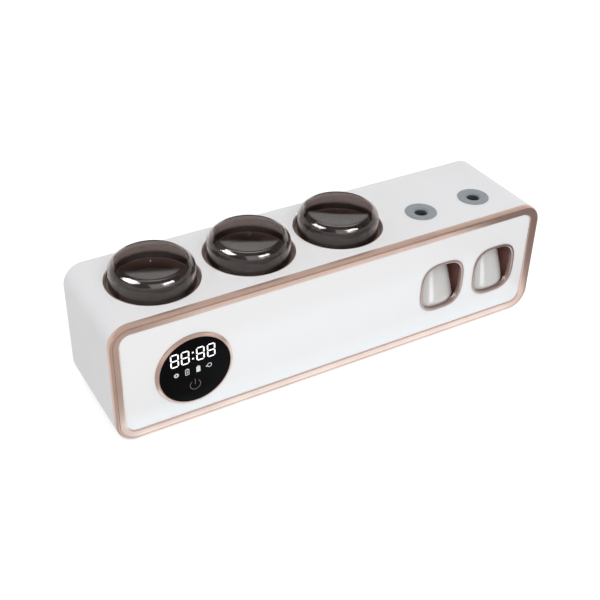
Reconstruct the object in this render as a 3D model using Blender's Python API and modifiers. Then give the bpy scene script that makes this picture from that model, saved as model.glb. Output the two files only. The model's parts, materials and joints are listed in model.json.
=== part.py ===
# Table-top heater for massage stones and oil: three lidded wells and two oil
# ports on top, two windows onto the oil tanks and a round touch display in front.
# Metres, +Z up, the front faces -Y. Origin: middle of the footprint, under the feet.

import math

import bmesh
import bpy
from mathutils import Matrix

# ---- driving dimensions -------------------------------------------------
GAP = 0.0003                    # running and seating gap between two pieces
EDGE = 0.0003                   # small broken edges

BODY_HEIGHT = 0.1218
BODY_RADIUS = 0.020             # the four long edges
BACK_FILLET = 0.004
WALL = 0.0026
CORNER_STEPS = 6

FOOT_PROUD = 0.0015
FOOT_RADIUS = 0.009
FOOT_SINK = 0.0012
FOOT_END = 0.024                # foot's axis to the cover's end
FOOT_SIDE = 0.013               # foot's axis to the cover's long side

COVER_END = 0.025               # cover's end to the body's end
COVER_SIDE = 0.01995            # cover's long side to the body's
COVER_RADIUS = 0.008
LEDGE_WIDTH = 0.006
LEDGE_THICKNESS = 0.0025
SCREW_EDGE = 0.008              # screw axis to the cover's edge
SCREW_RADIUS = 0.00125
SCREW_LENGTH = 0.0105
SCREW_HEAD_RADIUS = 0.0028
SCREW_HEAD_DEPTH = 0.0016
BOSS_RADIUS = 0.0045
BOSS_HEIGHT = 0.0095
VENT_LENGTH = 0.030
VENT_WIDTH = 0.0026
VENT_PITCH = 0.0065
VENT_COUNT = 4
VENT_X = 0.095

FRAME_WIDTH = 0.0096            # rose-gold band seen from the front
FRAME_SIDE = 0.0051             # how far its outer side wraps back
FRAME_CREST = 0.0020            # crest's inset from the outer edge
FRAME_LAND = 0.0006             # flat of the crest
GROOVE_WIDTH = 0.0008           # fine groove inside the crest
GROOVE_DEPTH = 0.0004
FRAME_BEVEL_DROP = 0.0011       # inner edge behind the crest
FRAME_LIP = 0.0004
FRAME_SEAT = 0.0033             # how far the panel reaches under the lip
FRAME_SPIGOT = 0.0039           # depth of the spigot inside the housing
PANEL_THICKNESS = 0.0026

DISPLAY_END = 0.0750            # display's middle to the body's end
DISPLAY_Z = 0.0567              # above the underside
DISPLAY_BASE_RADIUS = 0.0369
DISPLAY_LENS_RADIUS = 0.0335
DISPLAY_PROUD = 0.0025
RING_WALL = 0.0016
RING_LIP = 0.0018
RING_LAND = 0.0006              # flat top of the ring round the lens
RING_OVER = 0.0001              # that the ring stands over the lens
RING_FOOT = 0.0008              # upright side above the panel
LENS_THICKNESS = 0.0020
BOARD_THICKNESS = 0.0016

OIL_COUNT = 2
BAY_SPACING = 0.0017            # between two tank bays
BAY_END = 0.0191                # last bay to the body's end
WINDOW_SHIFT = 0.0008           # window's middle, to the right of the tank's axis
WINDOW_Z = 0.0584               # above the underside
WINDOW_HALF_WIDTH = 0.0251
WINDOW_HALF_HEIGHT = 0.0269
WINDOW_POWER = 3.0
WINDOW_RIM = 0.0027
WINDOW_PROUD = 0.0010
SLEEVE_WALL = 0.0013
SLEEVE_DEPTH = 0.0010           # behind the panel's back

TANK_HALF_WIDTH = 0.0275
TANK_HALF_DEPTH = 0.0330
TANK_POWER = 2.8
TANK_SETBACK = 0.00265          # tank's front behind the panel's face
TANK_BOTTOM = 0.0295            # above the underside
TANK_SHOULDER = 0.0900
TANK_TOP_SHARE = 0.76           # the body's section at its shoulder, next to its widest
TANK_TAPER_POWER = 1.2          # 1 draws the body in evenly from foot to shoulder
TANK_FOOT_RADIUS = 0.013
TANK_WALL = 0.0022
CAP_RISE = 0.0117               # tank's shoulder to the foot of its neck
NECK_BORE = 0.0127
NECK_WALL = 0.0020
BAY_WALL = 0.0015
BAY_SIDE_GAP = 0.0014
BAY_HEADROOM = 0.0120           # tank's shoulder to the bay's ceiling
BAY_RADIUS = 0.012
PLATE_THICKNESS = 0.0035

PORT_SHIFT = -0.0034            # port's middle, to the left of the tank's axis
PORT_BACK = 0.0029              # and behind it
COLLAR_RADIUS = 0.0154
COLLAR_FLANGE = 0.0008
COLLAR_MOUTH = 0.0102
COLLAR_BORE = 0.0066
COLLAR_CONE = 0.0042
COLLAR_DEPTH = 0.0085

WELL_COUNT = 3
WELL_END = 0.0182               # first well's flange to the body's end
WELL_SPACING = 0.0025           # between two wells' flanges
WELL_TO_BAY = 0.0108            # last well's flange to the first tank bay
WELL_FRONT = 0.01135            # wells' flanges to the frame's crest
WELL_BACK = 0.00935             # and to the back wall
WELL_RADIUS = 0.0424            # hole in the housing
LINER_WALL = 0.0015
LINER_FLANGE = 0.0035
LINER_FLANGE_THICKNESS = 0.0018
LINER_LEDGE_DEPTH = 0.0043
LINER_LEDGE_WIDTH = 0.0044
LINER_DEPTH = 0.0260
LINER_FLOOR_ROUND = 0.003
LINER_NECK_ROUND = 0.001        # pot to the flange's underside
LINER_RIM_DROP = 0.0002         # rim below the housing's top
HEATER_INSET = 0.0032           # heater's edge inside the liner's bore
HEATER_THICKNESS = 0.0035
PAD_THICKNESS = 0.0030

LID_PLAY = 0.0022               # skirt to the liner's mouth, all round
LID_TAPER = 0.0005              # skirt drawn in at the shoulder
LID_SHOULDER_Z = 0.0105         # above the housing's top
LID_SHOULDER_TOP = 0.0157
LID_SHOULDER_WIDTH = 0.0037
LID_STEP = 0.0006               # from the shoulder in to the raised top's side
LID_RIM_ROUND = 0.0016          # rounding of the raised top's edge
LID_RIM_TOP = 0.0181
LID_DISH = 0.0014               # middle of the top below its rim
LID_WALL = 0.0018

STONE_PLAY = 0.0052             # stone's side to the liner's bore
STONE_HEIGHT = 0.0220
STONE_FLAT = 0.0150
STONE_POWER = 2.3

BATTERY_SIZE = (0.070, 0.040, 0.0200)
BATTERY_END = 0.037             # battery to the cover's end
BOARD_SIZE = (0.110, 0.044)
BOARD_X = 0.015
STANDOFF_HEIGHT = 0.0080
STANDOFF_RADIUS = 0.0028

INLET_END = 0.035               # inlet's axis to the body's end
INLET_Z = 0.0240                # above the underside
INLET_RADIUS = 0.0050
INLET_BORE = 0.0033
INLET_BORE_DEPTH = 0.0095
INLET_LENGTH = 0.0130
INLET_FLANGE = 0.0080
INLET_FLANGE_THICKNESS = 0.0018

TURN_STEPS = 24
SMALL_STEPS = 12
LENS_STEPS = 28
LID_STEPS = 28
SQUIRCLE_POINTS = 24

# ---- places worked out from them ----------------------------------------
BASE = FOOT_PROUD               # the housing's underside
TOP = BASE + BODY_HEIGHT
LINER_MOUTH = WELL_RADIUS - GAP - LINER_WALL
LINER_BORE = LINER_MOUTH - LINER_LEDGE_WIDTH
FLANGE_RADIUS = WELL_RADIUS - GAP + LINER_FLANGE

BODY_DEPTH = WELL_FRONT + 2 * FLANGE_RADIUS + WELL_BACK
FRONT = -BODY_DEPTH / 2
BACK = BODY_DEPTH / 2
PANEL_FACE = FRONT + FRAME_BEVEL_DROP + FRAME_LIP + GAP
PANEL_BACK = PANEL_FACE + PANEL_THICKNESS
HOUSING_FRONT = FRONT + FRAME_SIDE + GAP

BAY_HALF = TANK_HALF_WIDTH + BAY_SIDE_GAP + BAY_WALL
WELLS_LENGTH = WELL_COUNT * 2 * FLANGE_RADIUS + (WELL_COUNT - 1) * WELL_SPACING
BAYS_LENGTH = OIL_COUNT * 2 * BAY_HALF + (OIL_COUNT - 1) * BAY_SPACING
BODY_LENGTH = WELL_END + WELLS_LENGTH + WELL_TO_BAY + BAYS_LENGTH + BAY_END
LEFT = -BODY_LENGTH / 2
WELL_Y = FRONT + WELL_FRONT + FLANGE_RADIUS
WELL_CENTRES = [
    (LEFT + WELL_END + FLANGE_RADIUS + i * (2 * FLANGE_RADIUS + WELL_SPACING), WELL_Y)
    for i in range(WELL_COUNT)
]
FIRST_BAY = -LEFT - BAY_END - BAYS_LENGTH
OIL_CENTRES = [FIRST_BAY + BAY_HALF + i * (2 * BAY_HALF + BAY_SPACING) for i in range(OIL_COUNT)]
TANK_Y = PANEL_FACE + TANK_SETBACK + TANK_HALF_DEPTH
PORT_Y = TANK_Y + PORT_BACK
DISPLAY_X = LEFT + DISPLAY_END
INLET_X = LEFT + INLET_END

LID_SKIRT_RADIUS = LINER_MOUTH - LID_PLAY
LID_SHOULDER_RADIUS = LID_SKIRT_RADIUS - LID_TAPER
LID_RIM_RADIUS = LID_SHOULDER_RADIUS - LID_SHOULDER_WIDTH - LID_STEP
STONE_RADIUS = LINER_BORE - STONE_PLAY

COVER_LENGTH = BODY_LENGTH - 2 * COVER_END
COVER_DEPTH = BODY_DEPTH - 2 * COVER_SIDE
COVER_TOP = BASE + WALL
BATTERY_X = BATTERY_END + (BATTERY_SIZE[0] - COVER_LENGTH) / 2
COVER_SCREWS = [
    (x, y)
    for x in (SCREW_EDGE - COVER_LENGTH / 2, 0.0, COVER_LENGTH / 2 - SCREW_EDGE)
    for y in (SCREW_EDGE - COVER_DEPTH / 2, COVER_DEPTH / 2 - SCREW_EDGE)
]
FOOT_X = COVER_LENGTH / 2 - FOOT_END
FOOT_Y = COVER_DEPTH / 2 - FOOT_SIDE
FEET = [(x, y) for x in (-FOOT_X, FOOT_X) for y in (-FOOT_Y, FOOT_Y)]

FINISHES = {
    "white_gloss": ((0.86, 0.86, 0.87), 0.18, 0.0, 1.0),
    "white_satin": ((0.84, 0.84, 0.85), 0.35, 0.0, 1.0),
    "rose_gold": ((0.72, 0.46, 0.36), 0.24, 1.0, 1.0),
    "bronze_liner": ((0.30, 0.19, 0.14), 0.35, 0.6, 1.0),
    "brown_plastic": ((0.12, 0.045, 0.035), 0.45, 0.0, 1.0),
    "smoked_clear": ((0.06, 0.045, 0.04), 0.08, 0.0, 0.55),
    "black_glass": ((0.008, 0.008, 0.009), 0.06, 0.0, 1.0),
    "opal_glass": ((0.85, 0.85, 0.83), 0.12, 0.0, 1.0),
    "grey_silicone": ((0.32, 0.34, 0.36), 0.55, 0.0, 1.0),
    "basalt": ((0.035, 0.035, 0.037), 0.55, 0.0, 1.0),
    "aluminium": ((0.70, 0.70, 0.71), 0.35, 1.0, 1.0),
    "foam": ((0.50, 0.48, 0.44), 0.90, 0.0, 1.0),
    "circuit_board": ((0.02, 0.16, 0.07), 0.50, 0.0, 1.0),
    "battery_wrap": ((0.03, 0.08, 0.30), 0.40, 0.0, 1.0),
    "black_rubber": ((0.03, 0.03, 0.03), 0.75, 0.0, 1.0),
    "black_plastic": ((0.04, 0.04, 0.04), 0.45, 0.0, 1.0),
    "zinc_steel": ((0.60, 0.60, 0.60), 0.30, 1.0, 1.0),
}


# ---- scene and helpers --------------------------------------------------
def start_scene():
    for thing in list(bpy.data.objects):
        bpy.data.objects.remove(thing, do_unlink=True)
    made = []
    for name in ("stone_heater", "cutters"):
        group = bpy.data.collections.new(name)
        bpy.context.scene.collection.children.link(group)
        made.append(group)
    made[1].hide_render = True
    return made


PARTS, CUTTERS = start_scene()


def add_object(name, data, finish):
    """Put mesh or curve data in the parts, or in the cutters if it has no finish."""
    thing = bpy.data.objects.new(name, data)
    if finish is None:
        CUTTERS.objects.link(thing)
        thing.hide_render = True
        thing.display_type = "WIRE"
        return thing
    PARTS.objects.link(thing)
    colour, roughness, metallic, alpha = FINISHES[finish]
    skin = bpy.data.materials.new(name + "_" + finish)
    skin.use_nodes = True
    shader = skin.node_tree.nodes["Principled BSDF"]
    shader.inputs["Base Color"].default_value = (*colour, 1.0)
    shader.inputs["Roughness"].default_value = roughness
    shader.inputs["Metallic"].default_value = metallic
    shader.inputs["Alpha"].default_value = alpha
    data.materials.append(skin)
    return thing


def mesh_from(bm, name):
    bmesh.ops.recalc_face_normals(bm, faces=bm.faces)
    mesh = bpy.data.meshes.new(name)
    bm.to_mesh(mesh)
    bm.free()
    return mesh


def smooth(mesh, angle=32):
    mesh.shade_smooth()
    mesh.set_sharp_from_angle(angle=math.radians(angle))


def loft(name, rings, finish, ring_closed=False):
    """Skin a row of rings that have equal numbers of points, capped at both ends,
    or with the last ring joined to the first."""
    bm = bmesh.new()
    rows = [[bm.verts.new(point) for point in ring] for ring in rings]
    following = rows[1:] + rows[:1] if ring_closed else rows[1:]
    count = len(rows[0])
    for row, after in zip(rows, following):
        for i in range(count):
            j = (i + 1) % count
            bm.faces.new((row[i], row[j], after[j], after[i]))
    if not ring_closed:
        bm.faces.new(rows[0])
        bm.faces.new(rows[-1])
    mesh = mesh_from(bm, name)
    smooth(mesh)
    return add_object(name, mesh, finish)


def turned(name, profile, place, finish, steps=TURN_STEPS, facing="up", ring=False):
    """Revolve (radius, height) points about local Z. The outer side runs downwards."""
    mesh = bpy.data.meshes.new(name)
    points = [(radius, 0.0, height) for radius, height in profile]
    edges = [(i, i + 1) for i in range(len(points) - 1)]
    if ring:
        edges.append((len(points) - 1, 0))
    mesh.from_pydata(points, edges, [])
    thing = add_object(name, mesh, finish)
    thing.location = place
    turn = {"up": 0.0, "front": math.pi / 2, "back": -math.pi / 2}[facing]
    thing.rotation_euler = (turn, 0.0, 0.0)
    screw = thing.modifiers.new("turn", "SCREW")
    screw.steps = steps
    screw.render_steps = steps
    screw.use_merge_vertices = True
    screw.merge_threshold = 0.00001
    screw.use_smooth_shade = False
    return thing


def plate(name, outlines, thickness, place, finish, facing="up"):
    """A flat plate from closed outlines: the first is its edge, the rest are holes."""
    curve = bpy.data.curves.new(name, "CURVE")
    curve.dimensions = "2D"
    curve.fill_mode = "BOTH"
    curve.extrude = thickness / 2
    for outline in outlines:
        spline = curve.splines.new("POLY")
        spline.points.add(len(outline) - 1)
        for point, (x, y) in zip(spline.points, outline):
            point.co = (x, y, 0.0, 1.0)
        spline.use_cyclic_u = True
    guide = bpy.data.objects.new(name + "_outline", curve)
    CUTTERS.objects.link(guide)
    bpy.context.view_layer.update()
    seen = guide.evaluated_get(bpy.context.evaluated_depsgraph_get())
    mesh = bpy.data.meshes.new_from_object(seen)
    bpy.data.objects.remove(guide, do_unlink=True)
    bm = bmesh.new()
    bm.from_mesh(mesh)
    bmesh.ops.remove_doubles(bm, verts=bm.verts, dist=0.000001)
    mesh = mesh_from(bm, name)
    thing = add_object(name, mesh, finish)
    thing.location = place
    thing.rotation_euler = (math.pi / 2 if facing == "front" else 0.0, 0.0, 0.0)
    return thing


def box(name, size, place, finish, edge=0.0, segments=2):
    bm = bmesh.new()
    bmesh.ops.create_cube(bm, size=1.0, matrix=Matrix.Diagonal((*size, 1.0)))
    thing = add_object(name, mesh_from(bm, name), finish)
    thing.location = place
    if edge:
        bevel = thing.modifiers.new("edges", "BEVEL")
        bevel.width = edge
        bevel.segments = segments
    return thing


def pegs(name, places, radius, low, high, steps=SMALL_STEPS, top_radius=None):
    """Upright cylinders or cones in one mesh, for cuts and unions."""
    bm = bmesh.new()
    for x, y in places:
        bmesh.ops.create_cone(
            bm,
            cap_ends=True,
            segments=steps,
            radius1=radius,
            radius2=radius if top_radius is None else top_radius,
            depth=high - low,
            matrix=Matrix.Translation((x, y, (low + high) / 2)),
        )
    return add_object(name, mesh_from(bm, name), None)


def combine(thing, tool, operation="DIFFERENCE"):
    step = thing.modifiers.new(tool.name, "BOOLEAN")
    step.operation = operation
    step.solver = "EXACT"
    step.object = tool
    return thing


def rounded_rectangle(half_width, half_height, radius, steps=CORNER_STEPS):
    points = []
    for corner, (sx, sy) in enumerate(((1, 1), (-1, 1), (-1, -1), (1, -1))):
        for step in range(steps + 1):
            angle = math.pi / 2 * (corner + step / steps)
            points.append(
                (
                    sx * (half_width - radius) + radius * math.cos(angle),
                    sy * (half_height - radius) + radius * math.sin(angle),
                )
            )
    return points


def squircle(half_width, half_height, power, count=SQUIRCLE_POINTS):
    """|x/a|^p + |y/b|^p = 1, with points at even angles of the parameter."""
    points = []
    for i in range(count):
        angle = 2 * math.pi * i / count
        c, s = math.cos(angle), math.sin(angle)
        x = half_width * math.copysign(abs(c) ** (2 / power), c)
        y = half_height * math.copysign(abs(s) ** (2 / power), s)
        points.append((x, y))
    return points


def circle(radius, count):
    return squircle(radius, radius, 2.0, count)


def arc(centre, radii, start, end, steps):
    """Points on an ellipse's arc, angles in degrees."""
    points = []
    for i in range(steps + 1):
        angle = math.radians(start + (end - start) * i / steps)
        points.append(
            (centre[0] + radii[0] * math.cos(angle), centre[1] + radii[1] * math.sin(angle))
        )
    return points


def standing_ring(points, y, x=0.0, z=0.0):
    """Outline points (across, up) set upright at depth y."""
    return [(x + across, y, z + up) for across, up in points]


def level_ring(points, z, x=0.0, y=0.0):
    return [(x + across, y + along, z) for across, along in points]


# ---- housing, cover, feet and screws ------------------------------------
def body_ring(inset, y):
    outline = rounded_rectangle(
        BODY_LENGTH / 2 - inset, BODY_HEIGHT / 2 - inset, BODY_RADIUS - inset
    )
    return standing_ring(outline, y, z=BASE + BODY_HEIGHT / 2)


def make_housing():
    """An open-fronted shell: inner walls, front edge, outer walls, filleted back."""
    rings = [body_ring(WALL, BACK - WALL), body_ring(WALL, HOUSING_FRONT)]
    rings.append(body_ring(0.0, HOUSING_FRONT))
    for inset, y in arc((BACK_FILLET, BACK - BACK_FILLET), (BACK_FILLET,) * 2, 180, 90, 3):
        rings.append(body_ring(inset, y))
    housing = loft("housing", rings, "white_satin")

    half_length, half_depth = COVER_LENGTH / 2, COVER_DEPTH / 2
    ledge_top = COVER_TOP + GAP + LEDGE_THICKNESS
    ledge_outer = rounded_rectangle(
        half_length + LEDGE_WIDTH, half_depth + LEDGE_WIDTH, COVER_RADIUS + LEDGE_WIDTH
    )
    ledge_low = BASE + WALL / 2
    ledge = plate(
        "cover_ledge",
        [ledge_outer],
        ledge_top - ledge_low,
        (0.0, 0.0, (ledge_top + ledge_low) / 2),
        None,
    )
    combine(housing, ledge, "UNION")
    opening = rounded_rectangle(
        half_length - LEDGE_WIDTH, half_depth - LEDGE_WIDTH, COVER_RADIUS - LEDGE_WIDTH / 2
    )
    way_in = plate("cover_way_in", [opening], BODY_HEIGHT / 6, (0.0, 0.0, BASE), None)
    combine(housing, way_in)
    boss_top = COVER_TOP + GAP + BOSS_HEIGHT
    bosses = pegs("cover_bosses", COVER_SCREWS, BOSS_RADIUS, COVER_TOP, boss_top)
    combine(housing, bosses, "UNION")
    recess_outline = rounded_rectangle(
        half_length + GAP, half_depth + GAP, COVER_RADIUS + GAP
    )
    recess = plate(
        "cover_recess",
        [recess_outline],
        2 * (WALL + GAP),
        (0.0, 0.0, BASE),
        None,
    )
    combine(housing, recess)
    pilot_top = BASE + SCREW_LENGTH + 2 * GAP
    combine(housing, pegs("pilots", COVER_SCREWS, SCREW_RADIUS + GAP, BASE, pilot_top, 8))

    over = TOP + WALL
    under = TOP - 2 * WALL
    holes = pegs("well_holes", WELL_CENTRES, WELL_RADIUS, under, over, TURN_STEPS)
    combine(housing, holes)
    ports = [(x + PORT_SHIFT, PORT_Y) for x in OIL_CENTRES]
    combine(housing, pegs("port_holes", ports, NECK_BORE, under, over, 24))
    inlet_hole = turned(
        "inlet_hole",
        [(0.0, WALL), (INLET_RADIUS + GAP, WALL), (INLET_RADIUS + GAP, -2 * WALL), (0.0, -2 * WALL)],
        (INLET_X, BACK, BASE + INLET_Z),
        None,
        24,
        "back",
    )
    combine(housing, inlet_hole)


def make_bottom_cover():
    outlines = [rounded_rectangle(COVER_LENGTH / 2, COVER_DEPTH / 2, COVER_RADIUS)]
    slot = rounded_rectangle(VENT_LENGTH / 2, VENT_WIDTH / 2, VENT_WIDTH / 2, 1)
    for side in (-1, 1):
        for i in range(VENT_COUNT):
            y = (i - (VENT_COUNT - 1) / 2) * VENT_PITCH
            outlines.append([(side * VENT_X + px, y + py) for px, py in slot])
    cover = plate(
        "bottom_cover", outlines, WALL, (0.0, 0.0, BASE + WALL / 2), "white_satin"
    )
    combine(
        cover,
        pegs("foot_pockets", FEET, FOOT_RADIUS + GAP, BASE - WALL, BASE + FOOT_SINK, 16),
    )
    combine(
        cover,
        pegs("screw_ways", COVER_SCREWS, SCREW_RADIUS + GAP, BASE - WALL, BASE + 2 * WALL, 8),
    )
    sinks = pegs(
        "countersinks",
        COVER_SCREWS,
        SCREW_HEAD_RADIUS + SCREW_HEAD_DEPTH + GAP,
        BASE - SCREW_HEAD_DEPTH,
        BASE + SCREW_HEAD_RADIUS + GAP,
        SMALL_STEPS,
        0.0,
    )
    combine(cover, sinks)
    posts = pegs(
        "standoffs",
        board_posts(),
        STANDOFF_RADIUS,
        COVER_TOP - WALL / 2,
        COVER_TOP + STANDOFF_HEIGHT,
        12,
    )
    combine(cover, posts, "UNION")


def make_cover_screws():
    """Countersunk screws, head flush with the cover, tip up in the boss."""
    tip = SCREW_LENGTH
    neck = SCREW_HEAD_RADIUS - SCREW_RADIUS
    profile = [
        (0.0, tip),
        (SCREW_RADIUS * 0.5, tip),
        (SCREW_RADIUS, tip - SCREW_RADIUS),
        (SCREW_RADIUS, neck),
        (SCREW_HEAD_RADIUS, 0.0),
        (0.0, 0.0),
    ]
    for i, (x, y) in enumerate(COVER_SCREWS, 1):
        turned(f"cover_screw_{i}", profile, (x, y, BASE), "zinc_steel", 8)


def make_feet():
    top = FOOT_PROUD + FOOT_SINK - GAP
    edge = FOOT_PROUD * 0.4
    profile = [
        (0.0, top),
        (FOOT_RADIUS, top),
        (FOOT_RADIUS, edge),
        (FOOT_RADIUS - edge, 0.0),
        (0.0, 0.0),
    ]
    for i, (x, y) in enumerate(FEET, 1):
        turned(f"foot_{i}", profile, (x, y, 0.0), "black_rubber", 16)


# ---- front: frame, panel, display, windows ------------------------------
def make_front_frame():
    """The bevelled band, its lip over the panel and its spigot in the housing,
    as one section (inset, depth) carried round the body's outline."""
    lip_back = FRAME_BEVEL_DROP + FRAME_LIP
    rim = arc((FRAME_CREST, FRAME_CREST * 1.5), (FRAME_CREST, FRAME_CREST * 1.5), 180, 270, 4)
    spigot_inner = FRAME_WIDTH - FRAME_SEAT
    groove = FRAME_CREST + FRAME_LAND
    section = [(0.0, FRAME_SIDE)] + rim
    section += [
        (groove, 0.0),
        (groove + GROOVE_WIDTH * 0.25, GROOVE_DEPTH),
        (groove + GROOVE_WIDTH * 0.75, GROOVE_DEPTH),
        (groove + GROOVE_WIDTH, GROOVE_DEPTH * 0.25),
        (FRAME_WIDTH, FRAME_BEVEL_DROP),
        (FRAME_WIDTH, lip_back),
        (spigot_inner, lip_back),
        (spigot_inner, FRAME_SIDE + FRAME_SPIGOT),
        (WALL + GAP, FRAME_SIDE + FRAME_SPIGOT),
        (WALL + GAP, FRAME_SIDE),
    ]
    rings = [body_ring(inset, FRONT + depth) for inset, depth in section]
    loft("front_frame", rings, "rose_gold", ring_closed=True)


def window_outline(inset):
    return squircle(WINDOW_HALF_WIDTH - inset, WINDOW_HALF_HEIGHT - inset, WINDOW_POWER)


def make_front_panel():
    inset = FRAME_WIDTH - FRAME_SEAT + GAP
    edge = rounded_rectangle(
        BODY_LENGTH / 2 - inset, BODY_HEIGHT / 2 - inset, BODY_RADIUS - inset
    )
    middle = BASE + BODY_HEIGHT / 2
    outlines = [edge]
    hole = DISPLAY_LENS_RADIUS + GAP + RING_WALL + GAP
    up = BASE + DISPLAY_Z - middle
    outlines.append([(DISPLAY_X + px, up + py) for px, py in circle(hole, LENS_STEPS)])
    up = BASE + WINDOW_Z - middle
    for x in OIL_CENTRES:
        hole = window_outline(WINDOW_RIM - SLEEVE_WALL - GAP)
        outlines.append([(x + WINDOW_SHIFT + px, up + py) for px, py in hole])
    place = (0.0, PANEL_FACE + PANEL_THICKNESS / 2, middle)
    plate("front_panel", outlines, PANEL_THICKNESS, place, "white_gloss", "front")


def make_display():
    """A cone-sided ring proud of the panel, its lens and the board behind it.
    Heights run forwards from the panel's face."""
    place = (DISPLAY_X, PANEL_FACE, BASE + DISPLAY_Z)
    bore = DISPLAY_LENS_RADIUS + GAP
    sleeve = bore + RING_WALL
    lens_back = DISPLAY_PROUD - LENS_THICKNESS
    lip_front = lens_back - GAP
    lip_back = lip_front - LENS_THICKNESS / 2
    board_front = lip_back - GAP
    ring_back = board_front - BOARD_THICKNESS - GAP
    land = DISPLAY_PROUD + RING_OVER
    profile = [
        (bore, land - EDGE),
        (bore + EDGE, land),
        (bore + EDGE + RING_LAND, land),
        (DISPLAY_BASE_RADIUS - EDGE, GAP + RING_FOOT),
        (DISPLAY_BASE_RADIUS, GAP),
        (sleeve, GAP),
        (sleeve, ring_back),
        (bore, ring_back),
        (bore, lip_back),
        (bore - RING_LIP, lip_back),
        (bore - RING_LIP, lip_front),
        (bore, lip_front),
    ]
    turned("display_ring", profile, place, "rose_gold", LENS_STEPS, "front", ring=True)
    profile = [
        (0.0, DISPLAY_PROUD),
        (DISPLAY_LENS_RADIUS - EDGE, DISPLAY_PROUD),
        (DISPLAY_LENS_RADIUS, DISPLAY_PROUD - EDGE),
        (DISPLAY_LENS_RADIUS, lens_back),
        (0.0, lens_back),
    ]
    turned("display_lens", profile, place, "black_glass", LENS_STEPS, "front")
    profile = [
        (0.0, board_front),
        (DISPLAY_LENS_RADIUS, board_front),
        (DISPLAY_LENS_RADIUS, board_front - BOARD_THICKNESS),
        (0.0, board_front - BOARD_THICKNESS),
    ]
    turned("display_board", profile, place, "circuit_board", LENS_STEPS, "front")


def make_window_frame(name, x):
    """A rounded flange on the panel with a sleeve through it: (inset, depth)
    points behind the panel's face."""
    flange_back = -GAP
    face = -GAP - WINDOW_PROUD
    sleeve_outer = WINDOW_RIM - SLEEVE_WALL
    section = [(0.0, flange_back)]
    for share, drop in ((0.0, 0.6), (0.18, 0.1), (0.35, 0.0), (0.6, 0.1), (0.86, 0.6), (1.0, 1.6)):
        section.append((WINDOW_RIM * share, face + WINDOW_PROUD * drop))
    end = PANEL_THICKNESS + SLEEVE_DEPTH
    section += [(WINDOW_RIM, end), (sleeve_outer, end), (sleeve_outer, flange_back)]
    middle = BASE + WINDOW_Z
    rings = [
        standing_ring(window_outline(inset), PANEL_FACE + depth, x, middle)
        for inset, depth in section
    ]
    loft(name, rings, "rose_gold", ring_closed=True)


# ---- oil side: bays, tanks, heater plates, collars ----------------------
def bay_low():
    return BASE + TANK_BOTTOM - GAP - PLATE_THICKNESS - GAP


def make_tank_bay(name, x):
    """An open-fronted box behind the window that holds the tank and its heater."""
    half_width = TANK_HALF_WIDTH + BAY_SIDE_GAP
    low = bay_low()
    high = BASE + TANK_SHOULDER + BAY_HEADROOM
    middle = (low + high) / 2
    front = PANEL_BACK + GAP
    back = TANK_Y + TANK_HALF_DEPTH + BAY_SIDE_GAP

    def ring(grow, y):
        outline = rounded_rectangle(
            half_width + grow, (high - low) / 2 + grow, BAY_RADIUS + grow, 4
        )
        return standing_ring(outline, y, x, middle)

    rings = [
        ring(0.0, back),
        ring(0.0, front),
        ring(BAY_WALL, front),
        ring(BAY_WALL, back + BAY_WALL),
    ]
    bay = loft(name, rings, "brown_plastic")
    neck = [(x + PORT_SHIFT, PORT_Y)]
    hole = NECK_BORE + NECK_WALL + GAP
    combine(bay, pegs(name + "_hole", neck, hole, high - BAY_WALL, high + 2 * BAY_WALL, 24))


def tank_section(share, inset):
    return squircle(
        TANK_HALF_WIDTH * share - inset, TANK_HALF_DEPTH * share - inset, TANK_POWER
    )


def tank_rings(x, inset):
    """The tank's skin from its foot to its shoulder, moved in by inset."""
    low = BASE + TANK_BOTTOM
    foot = TANK_FOOT_RADIUS
    rings = []
    for step in range(4):
        angle = math.pi / 2 * step / 3
        away = foot * (1 - math.sin(angle))
        height = foot * (1 - math.cos(angle))
        z = low + inset + height * (foot - inset) / foot
        rings.append(level_ring(tank_section(1.0, inset + away), z, x, TANK_Y))
    top = BASE + TANK_SHOULDER
    for step in range(1, 4):
        along = step / 3
        share = 1.0 - (1.0 - TANK_TOP_SHARE) * along ** TANK_TAPER_POWER
        z = low + foot + (top - low - foot) * along
        rings.append(level_ring(tank_section(share, inset), z, x, TANK_Y))
    return rings


def make_oil_tank(name, x):
    """A moulded cup: rounded foot, body drawn in upwards, inner skin inside it."""
    loft(name, tank_rings(x, 0.0) + tank_rings(x, TANK_WALL)[::-1], "opal_glass")


def make_tank_cap(name, x):
    """The cup's cap: from its rim the shoulder is lofted to a round neck that
    ends under the port."""
    neck_x = x + PORT_SHIFT
    rim = BASE + TANK_SHOULDER + GAP
    neck_low = rim + CAP_RISE
    neck_top = TOP - WALL - GAP
    neck = circle(NECK_BORE + NECK_WALL, SQUIRCLE_POINTS)
    bore = circle(NECK_BORE, SQUIRCLE_POINTS)
    midway = [
        (
            0.5 * (across + round_x + PORT_SHIFT),
            0.5 * (along + round_y + PORT_BACK),
        )
        for (across, along), (round_x, round_y) in zip(tank_section(TANK_TOP_SHARE, 0.0), neck)
    ]
    rings = [
        level_ring(tank_section(TANK_TOP_SHARE, 0.0), rim, x, TANK_Y),
        level_ring(midway, rim + CAP_RISE * 0.74, x, TANK_Y),
        level_ring(neck, neck_low, neck_x, PORT_Y),
        level_ring(neck, neck_top, neck_x, PORT_Y),
        level_ring(bore, neck_top, neck_x, PORT_Y),
        level_ring(bore, neck_low - TANK_WALL, neck_x, PORT_Y),
        level_ring(tank_section(TANK_TOP_SHARE, TANK_WALL), rim, x, TANK_Y),
    ]
    loft(name, rings, "opal_glass", ring_closed=True)


def make_tank_plate(name, x):
    top = BASE + TANK_BOTTOM - GAP
    flat = tank_section(1.0, TANK_FOOT_RADIUS)
    rings = [
        level_ring(flat, top - PLATE_THICKNESS, x, TANK_Y),
        level_ring(flat, top, x, TANK_Y),
    ]
    loft(name, rings, "aluminium")


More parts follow.
